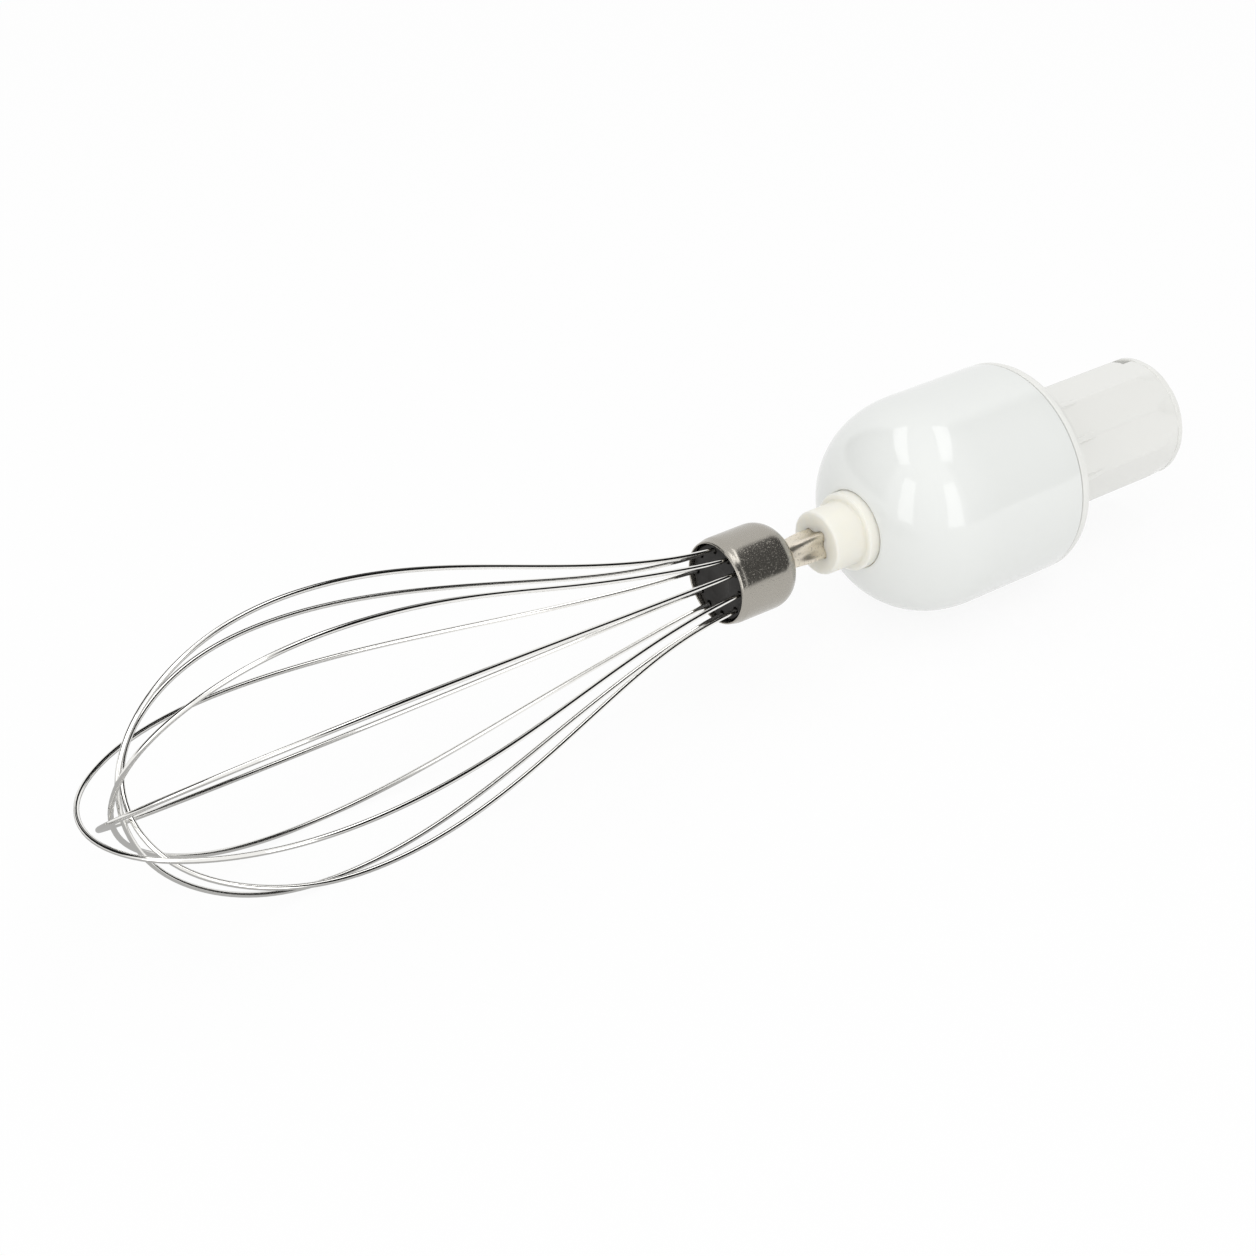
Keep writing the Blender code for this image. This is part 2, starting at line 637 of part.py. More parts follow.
def drive_coupling(axis):
    """Nylon dog on the input shaft, with a six-lobed recess for the hand blender's shaft."""
    edge = 0.5 * MM
    radius = 6.2 * MM
    profile = [
        (0, 26.0 * MM),
        (radius - 1.2 * MM, 26.0 * MM),
        (radius, 24.8 * MM),
        (radius, 9.0 * MM + edge),
        (radius - edge, 9.0 * MM),
        (0, 9.0 * MM),
    ]
    coupling = turned("drive_coupling", profile, axis, steps=28)
    recess = lobed_outline(6, 4.6 * MM, 3.5 * MM, 0, 36)
    cut(coupling, as_mesh(outline_plate("dog_recess", [recess], (8 * MM, 15.5 * MM), axis, CUTTERS)))
    bore = [point for point in circle(SHAFT_RADIUS + GAP, 24) if point[0] < 2.6 * MM]
    bore = as_mesh(outline_plate("coupling_bore", [bore], (16.7 * MM, 27 * MM), axis, CUTTERS))
    cut(coupling, bore)
    return finish(coupling, (0.10, 0.10, 0.10), 0.5)


def input_bearing(axis):
    """Sintered bush with a flange, in the rear cover's boss."""
    bore = SHAFT_RADIUS + GAP
    front = BEARING_BOSS_STATIONS[1] + GAP
    profile = [
        (bore, front + 1.0 * MM),
        (6.6 * MM, front + 1.0 * MM),
        (6.6 * MM, front),
        (BEARING_RADIUS, front),
        (BEARING_RADIUS, BEARING_BOSS_STATIONS[0] + 0.5 * MM),
        (bore, BEARING_BOSS_STATIONS[0] + 0.5 * MM),
    ]
    return finish(turned("input_bearing", profile, axis, steps=24), (0.55, 0.42, 0.27), 0.5, 1.0)


def thrust_washer(axis):
    low = BEARING_BOSS_STATIONS[1] + 1.0 * MM + 2 * GAP
    rings = [circle(6.8 * MM, 24), circle(SHAFT_RADIUS + 0.4 * MM, 20)]
    return finish(outline_plate("thrust_washer", rings, (low, low + 0.7 * MM), axis), (0.75, 0.72, 0.62), 0.5)


def retaining_clip(axis):
    """Open steel clip in the input shaft's groove, against the bearing."""
    opening = math.radians(55)
    inner, outer = 2.7 * MM, 4.9 * MM
    angles = [opening / 2 + (2 * math.pi - opening) * i / 16 for i in range(17)]
    outline = [polar(outer, angle) for angle in angles] + [polar(inner, angle) for angle in reversed(angles)]
    return steel(outline_plate("retaining_clip", [outline], (27.8 * MM, 28.4 * MM), axis))


def stem_section(station):
    """Lobe and valley radius of the stem at a station."""
    round_part = (STEM_ROUND_RADIUS, STEM_ROUND_RADIUS)
    keyed_part = (STEM_LOBE_RADIUS, STEM_VALLEY_RADIUS)
    shoulder_part = (3.45 * MM, 2.95 * MM)
    if station >= FERRULE_BACK:
        return round_part
    if station > STEM_SHOULDER_STATION:
        return shoulder_part
    share = min(1.0, (STEM_SHOULDER_STATION - station) / (6.0 * MM))
    share = share * share * (3 - 2 * share)
    return tuple(a + (b - a) * share for a, b in zip(shoulder_part, keyed_part))


def drive_stem(axis):
    """Formed stem: round inside the ferrule, four-lobed where it enters the socket."""
    end, chamfer = 80.0 * MM, 1.0 * MM
    ring_low, ring_high = SNAP_RING_STATION - 0.8 * MM, SNAP_RING_STATION + 0.8 * MM
    waist = 0.45 * MM
    sections = [
        (end, STEM_LOBE_RADIUS - chamfer, STEM_VALLEY_RADIUS - 0.3 * MM),
        (end + chamfer, STEM_LOBE_RADIUS, STEM_VALLEY_RADIUS),
        (ring_low, STEM_LOBE_RADIUS, STEM_VALLEY_RADIUS),
        (ring_low + waist, STEM_LOBE_RADIUS - waist, STEM_VALLEY_RADIUS),
        (ring_high - waist, STEM_LOBE_RADIUS - waist, STEM_VALLEY_RADIUS),
        (ring_high, STEM_LOBE_RADIUS, STEM_VALLEY_RADIUS),
    ]
    for station in np.linspace(104.5 * MM, 110.7 * MM, 5):
        sections.append((station, *stem_section(station)))
    sections.append((FERRULE_BACK - 0.2 * MM, 3.3 * MM, 3.1 * MM))
    sections.append((FERRULE_BACK + 0.2 * MM, STEM_ROUND_RADIUS, STEM_ROUND_RADIUS))
    sections.append((127.0 * MM, STEM_ROUND_RADIUS, STEM_ROUND_RADIUS))
    shape = bmesh.new()
    rings = []
    for station, lobe_radius, valley_radius in sections:
        outline = lobed_outline(STEM_LOBES, lobe_radius, valley_radius, LOBE_ANGLE)
        rings.append([shape.verts.new((x, y, station)) for x, y in outline])
    count = len(rings[0])
    for low, high in zip(rings, rings[1:]):
        for i in range(count):
            j = (i + 1) % count
            shape.faces.new((low[i], low[j], high[j], high[i]))
    shape.faces.new(rings[0][::-1])
    shape.faces.new(rings[-1])
    mesh = bpy.data.meshes.new("drive_stem")
    shape.to_mesh(mesh)
    shape.free()
    mesh.shade_smooth()
    mesh.set_sharp_from_angle(angle=math.radians(35))
    return nickel(place("drive_stem", mesh, axis))


def ferrule(axis):
    """Deep-drawn cup with a round shoulder at the back and a rolled rim at the mouth."""
    inner = FERRULE_RADIUS - FERRULE_SHEET
    hole = STEM_ROUND_RADIUS + 0.5 * MM
    roll = FERRULE_RADIUS - MOUTH_RADIUS
    shoulder = (FERRULE_RADIUS - FERRULE_SHOULDER, FERRULE_BACK + FERRULE_SHOULDER)
    outside = rounding(shoulder, FERRULE_SHOULDER, 0, -90, 7)
    inside = rounding(shoulder, FERRULE_SHOULDER - FERRULE_SHEET, -90, 0, 5)
    lip_station = FERRULE_MOUTH - 2.4 * MM
    lip = [
        (MOUTH_RADIUS, FERRULE_MOUTH - 0.3 * MM),
        (MOUTH_RADIUS + 0.12 * MM, FERRULE_MOUTH),
        (MOUTH_RADIUS + 0.42 * roll, FERRULE_MOUTH - 0.15 * MM),
        (MOUTH_RADIUS + 0.75 * roll, FERRULE_MOUTH - 0.7 * MM),
        (MOUTH_RADIUS + 0.93 * roll, FERRULE_MOUTH - 1.4 * MM),
        (FERRULE_RADIUS, lip_station),
    ]
    profile = lip + outside + [(hole, FERRULE_BACK), (hole, FERRULE_BACK + FERRULE_SHEET)] + inside
    profile += [(inner, lip_station - 0.4 * MM)]
    return nickel(turned("ferrule", profile, axis, steps=36))


def loop_angle(index):
    return LOOP_ANGLE - index * math.pi / LOOP_COUNT + LOOPS[index][2]


def wire_plug(axis):
    """Moulded disc in the ferrule's mouth, with a hole for each wire end."""
    low, high = PLUG_STATIONS
    bore = STEM_ROUND_RADIUS + GAP
    edge = 0.4 * MM
    profile = [
        (0, high),
        (PLUG_RADIUS - edge, high),
        (PLUG_RADIUS, high - edge),
        (PLUG_RADIUS, low),
        (bore, low),
        (bore, 127.4 * MM),
        (0, 127.4 * MM),
    ]
    plug = turned("wire_plug", profile, axis, steps=36)
    for i in range(2 * LOOP_COUNT):
        angle = loop_angle(i % LOOP_COUNT) + (math.pi if i >= LOOP_COUNT else 0)
        centre = polar(HUB_RADIUS, angle)
        hole = (WIRE_END_STATION - 1 * MM, high + 1 * MM)
        cut(plug, rod(f"wire_hole_{i}", WIRE_HOLE_RADIUS, hole, axis, centre, sides=12, home=CUTTERS))
    return finish(plug, (0.02, 0.02, 0.02), 0.55)


def loop_line(index):
    """Centre line of one wire loop in its own plane: (distance from the axis, station)."""
    crown, width, _, lean = LOOPS[index]
    length = crown - HUB_STATION
    half = [(HUB_RADIUS, WIRE_END_STATION), (HUB_RADIUS + 0.05 * MM, HUB_STATION - 1.0 * MM)]
    half += [(radius * width, HUB_STATION + share * length) for share, radius in BALLOON]
    whole = half + [(0, crown)] + [(-radius, station) for radius, station in half[::-1]]
    bowed = []
    for radius, station in whole:
        reach = max(0.0, station - HUB_STATION) / LEAN_LENGTH
        bowed.append((radius + lean * reach ** 2, station))
    return smooth_curve(bowed, 2 * WIRE_POINTS + 1)


def wire_points():
    """Points of all wires' centre lines in the axis frame."""
    points = []
    for index in range(LOOP_COUNT):
        for distance, station in loop_line(index):
            points.append((*polar(distance, loop_angle(index)), station))
    return np.array(points)


def resting_angles(points):
    """Roll and tilt at which it lies lowest, on two wires and the housing's rear edge."""
    best_roll, best_slope = 0.0, math.inf
    for step in range(-60, 61):
        roll = math.radians(step / 4)
        reach = WIRE_RADIUS - points[:, 0] * math.cos(roll) + points[:, 1] * math.sin(roll)
        slope = np.max((reach - HOUSING_RADIUS) / (points[:, 2] - SEAM_STATION))
        if slope < best_slope:
            best_roll, best_slope = roll, float(slope)
    return best_roll, math.atan(best_slope)


def lying_axis():
    """The main axis laid on the table, with the origin under the middle of the whole object."""
    points = wire_points()
    roll, tilt = resting_angles(points)
    lay = Matrix.Rotation(tilt - math.pi / 2, 3, "Y")
    wires = points @ np.array(lay @ Matrix.Rotation(roll, 3, "Z")).T
    edge = lay @ Vector((-HOUSING_RADIUS, 0, SEAM_STATION))
    low_x = wires[:, 0].min() - WIRE_RADIUS
    high_x = (lay @ Vector((NECK_END_RADIUS, 0, 0.3 * MM))).x
    middle_y = (wires[:, 1].min() + wires[:, 1].max()) / 2
    frame = axis_frame("table_frame", offset=(-(low_x + high_x) / 2, -middle_y, -edge.z))
    frame.rotation_euler = (0, tilt - math.pi / 2, 0)
    return axis_frame("housing_axis", frame, turn=roll)


def wire_loop(index, axis):
    """One stainless wire bent into a loop, both ends in the plug."""
    name = f"wire_loop_{index + 1}"
    curve = bpy.data.curves.new(name, "CURVE")
    curve.dimensions = "3D"
    curve.bevel_depth = WIRE_RADIUS
    curve.bevel_resolution = 2
    curve.use_fill_caps = True
    curve.render_resolution_u = 0
    line = loop_line(index)
    spline = curve.splines.new("POLY")
    spline.points.add(len(line) - 1)
    for point, (distance, station) in zip(spline.points, line):
        point.co = (*polar(distance, loop_angle(index)), station, 1)
    return steel(place(name, curve, axis))


def build():
    housing = lying_axis()
    front_housing(housing)
    rear_cover(housing)
    ring_gear(housing)
    input_bearing(housing)
    thrust_washer(housing)

    carrier = axis_frame("carrier_axis", housing)
    output_socket(carrier)
    snap_ring(carrier)
    carrier_plate(carrier)
    for i in range(PLANET_COUNT):
        planet_pin(i, carrier)
        angle = 2 * math.pi * i / PLANET_COUNT
        centre = (*polar(PLANET_CIRCLE_RADIUS, angle), 0)
        planet_gear(i, axis_frame(f"planet_axis_{i + 1}", carrier, centre, angle))

    drive = axis_frame("input_axis", housing)
    sun_shaft(drive)
    drive_coupling(drive)
    retaining_clip(drive)

    whisk = axis_frame("whisk_axis", carrier)
    drive_stem(whisk)
    ferrule(whisk)
    wire_plug(whisk)
    for i in range(LOOP_COUNT):
        wire_loop(i, whisk)


build()
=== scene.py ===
"""Immersion blender whisk attachment, dressed over its CAD frame.

Lengths are metres, and the tables of profile points are millimetres. Every piece is modelled in
the axis frame and then laid on the table: local Z is the station, the distance from the neck's
open end towards the whisk's tip, local X points up and local Y to +Y.
"""
import math

import bmesh
import bpy
import numpy as np
from bpy.props import FloatProperty, FloatVectorProperty, IntProperty, PointerProperty
from mathutils import Matrix, Vector


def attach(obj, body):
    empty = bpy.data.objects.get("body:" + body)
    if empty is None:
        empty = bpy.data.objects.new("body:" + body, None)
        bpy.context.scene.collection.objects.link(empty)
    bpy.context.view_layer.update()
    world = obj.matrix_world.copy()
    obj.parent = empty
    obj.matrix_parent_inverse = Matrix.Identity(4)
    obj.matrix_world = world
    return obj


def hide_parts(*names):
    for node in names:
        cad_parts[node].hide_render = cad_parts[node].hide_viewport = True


bl_info = {
    "name": "Whisk Attachment",
    "version": (1, 0, 0),
    "blender": (4, 5, 0),
    "location": "3D View > Sidebar > Whisk",
    "description": "Immersion blender whisk attachment: gearbox, ferrule and wire balloon",
    "category": "Object",
}

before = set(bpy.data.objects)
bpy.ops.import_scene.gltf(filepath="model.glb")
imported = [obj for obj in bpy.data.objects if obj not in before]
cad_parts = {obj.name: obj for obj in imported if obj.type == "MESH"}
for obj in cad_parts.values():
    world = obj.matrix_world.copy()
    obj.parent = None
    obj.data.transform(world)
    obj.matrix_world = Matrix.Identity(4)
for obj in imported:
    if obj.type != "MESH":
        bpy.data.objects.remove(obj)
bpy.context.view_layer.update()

MM = 0.001

# How the axis frame lies on the table
NECK_END = Vector((0.139344, 0.000537, 0.024074))
TILT = math.radians(1.1883)
ROLL = math.radians(0.25)
LYING = (Matrix.Translation(NECK_END) @ Matrix.Rotation(TILT - math.pi / 2, 4, "Y")
         @ Matrix.Rotation(ROLL, 4, "Z"))

# Dome of the gearbox, a superellipse turned about the axis
HOUSING_RADIUS = 25.0 * MM
HOUSING_WALL = 2.2 * MM
SEAM_STATION = 44.7 * MM
DOME_STATION = 68.5 * MM
DOME_LENGTH = 24.1 * MM
DOME_POWER = 2.25
HOUSING_STATIONS = (62 * MM, 56 * MM, 50 * MM)
SOCKET_HOLE_RADIUS = 9.0 * MM
HOLE_BOSS_RADIUS = 11.2 * MM
HOLE_BOSS_STATION = 69.0 * MM

# Rear cover and its neck. The tables hold radius and station in millimetres
FLANGE_RADIUS = 24.9 * MM
FLANGE_STATION = 44.4 * MM
COVER_SPIGOT = ((5.5, 47.3), (7.5, 47.3), (7.6, 47.2), (7.6, 38.8), (14.6, 38.8), (20.7, 42.8),
                (20.7, 53.3), (22.3, 53.3), (22.5, 53.1), (22.5, 44.4))
COVER_SHOULDER = ((24.9, 43.1), (24.6, 42.3), (23.6, 41.6), (22.0, 40.9), (20.5, 40.2),
                  (18.7, 39.45), (17.2, 38.8), (16.5, 38.45), (16.0, 38.1), (15.7, 37.7),
                  (15.5, 37.2), (15.42, 36.6))
NECK_STATIONS = (36.0, 34.5, 32.5, 31.5, 30.5, 29.5, 28.5, 27.6, 26.9, 26.5, 24.0, 20.0, 16.0,
                 13.0, 11.0, 9.5)
NECK_LIP = ((15.2, 8.6), (15.05, 7.8), (14.9, 7.0), (14.75, 6.0), (14.6, 5.2), (14.5, 4.2),
            (14.42, 3.0), (14.35, 1.75), (14.30, 1.68), (14.20, 1.62), (14.20, 1.42),
            (14.36, 1.34), (14.44, 1.24), (14.45, 1.1), (14.45, 0.35))
COVER_BORE = ((12.9, 0.0), (12.78, 0.06), (12.3, 1.0), (12.3, 33.5), (7.6, 33.5), (7.6, 29.0),
              (5.5, 29.0))
NECK_SIDES = 10
NECK_TURNED_RADIUS = 15.4 * MM        # before the ten flats are cut
NECK_CORNER_RADIUS = 15.0 * MM
NECK_CORNER_BLUNTING = 0.07 * MM
NECK_END_RADIUS = 14.45 * MM
NECK_WALL_RADIUS = 13.3 * MM          # inside the neck's wall, between its bore and its skin
FLATS_STATION = 36.3 * MM             # where the ten flats end at the shoulder
RIB_STATIONS = (26.6 * MM, 38.0 * MM)
RIB_HALF_WIDTH = 0.6 * MM
RIB_RISE_LENGTH = 4.5 * MM
RIB_LOW_RADIUS = 14.75 * MM
RIB_HEIGHT = 0.60 * MM
WINDOW_SIZE = (6 * MM, 7.4 * MM, 3.2 * MM)
WINDOW_STATION = 3.2 * MM
WINDOW_ANGLE = math.radians(23.5)

# Output socket, with radius and station of its side in millimetres
SOCKET_NOSE_RADIUS = 7.3 * MM
SOCKET_FACE_STATION = 102.0 * MM
SOCKET_SIDE = ((7.3, 94.6), (7.36, 94.25), (7.55, 93.98), (7.8, 93.9), (8.5, 93.9), (8.72, 93.82),
               (8.96, 93.6), (8.96, 90.0), (8.65, 89.8), (8.65, 86.9), (7.0, 86.9), (7.0, 85.1),
               (8.65, 85.1), (8.65, 65.6), (16.6, 65.6), (16.8, 65.4), (16.8, 62.4), (16.6, 62.2),
               (0, 62.2))
BORE_STATION = 79.5 * MM
BORE_CLEARANCE = 0.2 * MM
BORE_POINTS = 128
SNAP_RING_STATION = 86 * MM
FINGER_SLOT_SIZE = (18.6 * MM, 1.2 * MM, 6 * MM)
PLANET_COUNT = 3
PLANET_CIRCLE_RADIUS = 12.0 * MM
POST_CIRCLE_RADIUS = 13.5 * MM
# Radius, low and high station
PILOT_HOLE = (2.3 * MM, 61.2 * MM, 65.2 * MM)
PIN_HOLE = (1.8 * MM, 61.2 * MM, 64.8 * MM)
POST = (2.7 * MM, 53.5 * MM, 63.2 * MM)
TENON = (1.5 * MM, 50.0 * MM, 54.2 * MM)

# Stem, with station, lobe radius and valley radius in millimetres
STEM_LOBES = 4
STEM_POINTS = 96
LOBE_ANGLE = math.radians(-32)
LOBE_SHARPNESS = 1.5                  # 1 is a sine wave, more makes the lobes narrower
LOBE_RADIUS = 3.9
VALLEY_RADIUS = 2.45
SHOULDER_LOBE_RADIUS = 3.45
SHOULDER_VALLEY_RADIUS = 2.95
LOBES_END_STATION = 110.8
LOBES_FADE_LENGTH = 6.0
FADE_STATIONS = (104.5, 110.7)
FADE_STEPS = 12
STEM_KEYED_PART = ((80.0, 2.9, 2.15), (80.3, 3.3, 2.3), (81.0, 3.9, 2.45), (85.2, 3.9, 2.45),
                   (85.65, 3.45, 2.45), (86.35, 3.45, 2.45), (86.8, 3.9, 2.45), (95.0, 3.9, 2.45),
                   (103.0, 3.9, 2.45))
STEM_ROUND_PART = ((111.2, 3.42, 3.02), (112.2, 3.36, 3.12), (112.7, 3.25, 3.15),
                   (113.0, 3.05, 3.02), (113.3, 3.0, 3.0), (119.0, 3.0, 3.0), (127.0, 3.0, 3.0))

# Ferrule and plug, with radius and station in millimetres
FERRULE_BACK = 113.0 * MM
FERRULE_RADIUS = 9.72 * MM
FERRULE_SHOULDER = 5.6 * MM
FERRULE_SHEET = 0.7 * MM
FERRULE_LIP = ((8.90, 129.6), (8.90, 130.15), (8.93, 130.31), (9.00, 130.39), (9.10, 130.39),
               (9.22, 130.30), (9.31, 130.12), (9.38, 129.85), (9.44, 129.50), (9.50, 129.20),
               (9.57, 128.95), (9.64, 128.70), (9.69, 128.40), (9.72, 128.0), (9.72, 125.0),
               (9.72, 122.0), (9.72, 120.0))
FERRULE_HOLE = ((3.7, 113.0), (3.5, 113.1), (3.5, 113.7))
FERRULE_LINING = ((9.02, 127.4), (8.98, 128.4))
PLUG_PROFILE = ((0, 129.35), (3.2, 129.35), (3.45, 129.45), (3.7, 129.5), (8.1, 129.5),
                (8.3, 129.45), (8.45, 129.3), (8.5, 129.1), (8.5, 117.9), (3.3, 117.9),
                (3.3, 127.4), (0, 127.4))
# Radius, low and high station
WIRE_HOLE = (0.78 * MM, 118.5 * MM, 130.5 * MM)

# Wire loops
HUB_RADIUS = 7.2 * MM
HUB_STATION = 127.4 * MM
WIRE_END_STATION = 119.5 * MM
SPLAY_STATION = 126.4 * MM            # inside the plug, where the wires start to spread
SPLAY = 0.05 * MM
LOOP_COUNT = 5
LOOP_ANGLE = math.radians(18)
LEAN_LENGTH = 100 * MM
# Share of the way from the hub to the crown, and the balloon's radius there
BALLOON = (
    (0.12, 9.84 * MM),
    (0.30, 17.01 * MM),
    (0.50, 25.86 * MM),
    (0.68, 29.94 * MM),
    (0.82, 27.83 * MM),
    (0.92, 20.79 * MM),
    (0.975, 12.43 * MM),
)
# Crown station, width, turn out of its even place and lean of each loop
LOOPS = (
    (270.8 * MM, 0.992, math.radians(-5.4), 0.8 * MM),
    (273.6 * MM, 1.119, math.radians(-5.4), 2.9 * MM),
    (274.6 * MM, 0.991, math.radians(3.5), -0.1 * MM),
    (278.2 * MM, 0.990, math.radians(3.7), 0.5 * MM),
    (269.2 * MM, 0.907, math.radians(1.6), 0.5 * MM),
)

# Studio
UP = (0, 0, 1)
# Name, centre, back's direction, long side's direction, length and width of each lamp
SOFT_BOXES = (
    ("left_low", (-1.235, -0.40, 0.66), (-0.95, -0.31, 0), UP, 1.25, 0.42),
    ("front_low", (-0.22, -1.28, 0.66), (-0.17, -0.98, 0), UP, 1.25, 0.42),
    ("left_high", (-0.36, 0.39, 1.20), UP, (-0.77, -0.64, 0), 1.10, 0.32),
    ("front_high", (0.35, -0.17, 1.20), UP, (-0.49, -0.87, 0), 0.91, 0.28),
)
OVERHEAD_BOX = ("above", (0.10, -0.60, 1.22), (0.07, -0.43, 0.90), (1, 0, 0), 0.9, 0.7)
# Brightness of the lamps and cards, as a mirror shows them
MIRRORED_LEVEL = 1.85
OVERHEAD_LEVEL = 0.93
DARK = 0.01
GREY = 0.46
CARD_EDGE = 0.11                      # share of a card over which its edge fades
# Name, azimuths, elevations, distance and centre of the cards that draw dark lines on metal
DARK_CARDS = (
    ("dark_front_card", (-2, 110), (-5, 70), 1.7, (0, 0, 0)),
    ("dark_back_card", (178, 266), (6, 62), 1.7, (0, 0, 0)),
    ("dark_crown_card", (96, 180), (20, 60), 0.16, (-0.13, 0, 0.03)),
)
GREY_CARD_CORNERS = ((-0.34, -0.13), (-0.03, 0.14))
CARD_LIFT = 0.4 * MM                  # of the grey card, which lies on the table
WORLD_STRENGTH = 0.70
FLOOR_GREY = 0.90
FLOOR_WHITE = 0.90                    # share of plain white in the floor as it is seen
LENS_LENGTH = 70.71                   # in millimetres, as the sensor's width
SENSOR_WIDTH = 36
CAMERA_PLACE = Vector((270.1, -349.4, 418.6)) * MM


class WhiskSettings(bpy.types.PropertyGroup):
    """Sizes and colours of the whisk attachment."""

    wire_diameter: FloatProperty(
        name="Wire Diameter", description="Thickness of the stainless wire",
        default=1.1 * MM, min=0.8 * MM, max=1.6 * MM, unit="LENGTH")
    wire_samples: IntProperty(
        name="Wire Samples", description="Points along each side of a wire loop",
        default=90, min=20, max=200)
    housing_colour: FloatVectorProperty(
        name="Housing Colour", description="Glossy white of the dome",
        default=(0.80, 0.815, 0.795), subtype="COLOR", min=0, max=1)
    cover_colour: FloatVectorProperty(
        name="Cover Colour", description="White of the rear cover and neck",
        default=(0.81, 0.81, 0.78), subtype="COLOR", min=0, max=1)
    nylon_colour: FloatVectorProperty(
        name="Nylon Colour", description="Natural ivory nylon of the output socket",
        default=(0.86, 0.84, 0.76), subtype="COLOR", min=0, max=1)
    nickel_colour: FloatVectorProperty(
        name="Nickel Colour", description="Warm satin nickel plate of the ferrule",
        default=(0.39, 0.368, 0.328), subtype="COLOR", min=0, max=1)
    stem_colour: FloatVectorProperty(
        name="Stem Colour", description="Warm matte metal of the formed stem",
        default=(0.78, 0.72, 0.61), subtype="COLOR", min=0, max=1)
    wire_colour: FloatVectorProperty(
        name="Wire Colour", description="Bright stainless wire",
        default=(0.88, 0.87, 0.84), subtype="COLOR", min=0, max=1)
    plug_colour: FloatVectorProperty(
        name="Plug Colour", description="Matte black of the moulded plug",
        default=(0.014, 0.013, 0.012), subtype="COLOR", min=0, max=1)


def settings():
    """The sizes and colours that the user can change."""
    return bpy.context.scene.whisk_attachment


def polar(radius, angle):
    """The (x, y) point at a radius and an angle."""
    return (radius * math.cos(angle), radius * math.sin(angle))


def metres(table):
    """Points of a table in millimetres."""
    return [(radius * MM, station * MM) for radius, station in table]


def arc(centre, radius, start, end, count):
    """Points of an arc in a profile. Angles in degrees, 0 is outwards, 90 towards the tip."""
    points = []
    for i in range(count + 1):
        angle = math.radians(start + (end - start) * i / count)
        points.append((centre[0] + radius * math.cos(angle), centre[1] + radius * math.sin(angle)))
    return points


def dome_curve(inner_radius, inset, count):
    """Profile of the dome from the inner radius out to the cylinder, set in from its skin."""
    reach, length = HOUSING_RADIUS - inset, DOME_LENGTH - inset
    start = math.asin((inner_radius / reach) ** (DOME_POWER / 2))
    points = []
    for i in range(count + 1):
        turn = start + (math.pi / 2 - start) * i / count
        radius = reach * math.sin(turn) ** (2 / DOME_POWER)
        rise = length * max(math.cos(turn), 0.0) ** (2 / DOME_POWER)
        points.append((radius, DOME_STATION + rise))
    return points


def spun(profile, steps, closed=True):
    """A bmesh turned from (radius, station) points about the axis."""
    shape = bmesh.new()
    verts = [shape.verts.new((radius, 0, station)) for radius, station in profile]
    edges = [shape.edges.new(pair) for pair in zip(verts, verts[1:])]
    if closed:
        edges.append(shape.edges.new((verts[-1], verts[0])))
    bmesh.ops.spin(shape, geom=verts + edges, cent=(0, 0, 0), axis=(0, 0, 1), dvec=(0, 0, 0),
                   angle=2 * math.pi, steps=steps, use_merge=True)
    bmesh.ops.remove_doubles(shape, verts=shape.verts, dist=0.001 * MM)
    bmesh.ops.recalc_face_normals(shape, faces=shape.faces)
    return shape


def lofted(sections):
    """A bmesh through closed outlines, each a station and its list of (x, y) points."""
    count = len(sections[0][1])
    shape = bmesh.new()
    ring = bmesh.ops.create_circle(shape, cap_ends=False, segments=count, radius=1.0)["verts"]
    loops = [ring]
    edges = list(shape.edges)
    for _ in sections[1:]:
        made = bmesh.ops.extrude_edge_only(shape, edges=edges)["geom"]
        loops.append([item for item in made if isinstance(item, bmesh.types.BMVert)])
        edges = [item for item in made if isinstance(item, bmesh.types.BMEdge)
                 and all(vert in loops[-1] for vert in item.verts)]
    full = 2 * math.pi
    first = math.atan2(ring[0].co.y, ring[0].co.x) % full
    for verts, (station, outline) in zip(loops, sections):
        for vert in verts:
            angle = math.atan2(vert.co.y, vert.co.x) % full
            index = round((angle - first) / (full / count)) % count
            vert.co = (*outline[index], station)
    bmesh.ops.holes_fill(shape, edges=[edge for edge in shape.edges if edge.is_boundary], sides=0)
    bmesh.ops.recalc_face_normals(shape, faces=shape.faces)
    return shape


def cylinder(radius, low, high, centre=(0, 0), segments=32):
    """A bmesh rod between two stations."""
    shape = bmesh.new()
    middle = Matrix.Translation((*centre, (low + high) / 2))
    bmesh.ops.create_cone(shape, cap_ends=True, segments=segments, radius1=radius, radius2=radius,
                          depth=high - low, matrix=middle)
    return shape


def box(size, centre, angle):
    """A bmesh block that is moved to its centre and then turned about the axis."""
    shape = bmesh.new()
    place = Matrix.Rotation(angle, 4, "Z") @ Matrix.Translation(centre)
    bmesh.ops.create_cube(shape, size=1.0, matrix=place @ Matrix.Diagonal((*size, 1)))
    return shape


def mesh_object(name, shape, laid=True):
    """The bmesh as an object at the origin, laid on the table."""
    if laid:
        bmesh.ops.transform(shape, matrix=LYING, verts=shape.verts)
    mesh = bpy.data.meshes.new(name)
    shape.to_mesh(mesh)
    shape.free()
    piece = bpy.data.objects.new(name, mesh)
    bpy.context.scene.collection.objects.link(piece)
    return piece


def combine(piece, shape, operation):
    """A Boolean with another bmesh, applied at once."""
    tool = mesh_object("tool", shape)
    modifier = piece.modifiers.new("cut", "BOOLEAN")
    modifier.operation = operation
    modifier.object = tool
    modifier.solver = "EXACT"
    bpy.context.view_layer.update()
    graph = bpy.context.evaluated_depsgraph_get()
    mesh = bpy.data.meshes.new_from_object(piece.evaluated_get(graph))
    old = piece.data
    piece.modifiers.clear()
    piece.data = mesh
    bpy.data.meshes.remove(old)
    bpy.data.objects.remove(tool, do_unlink=True)


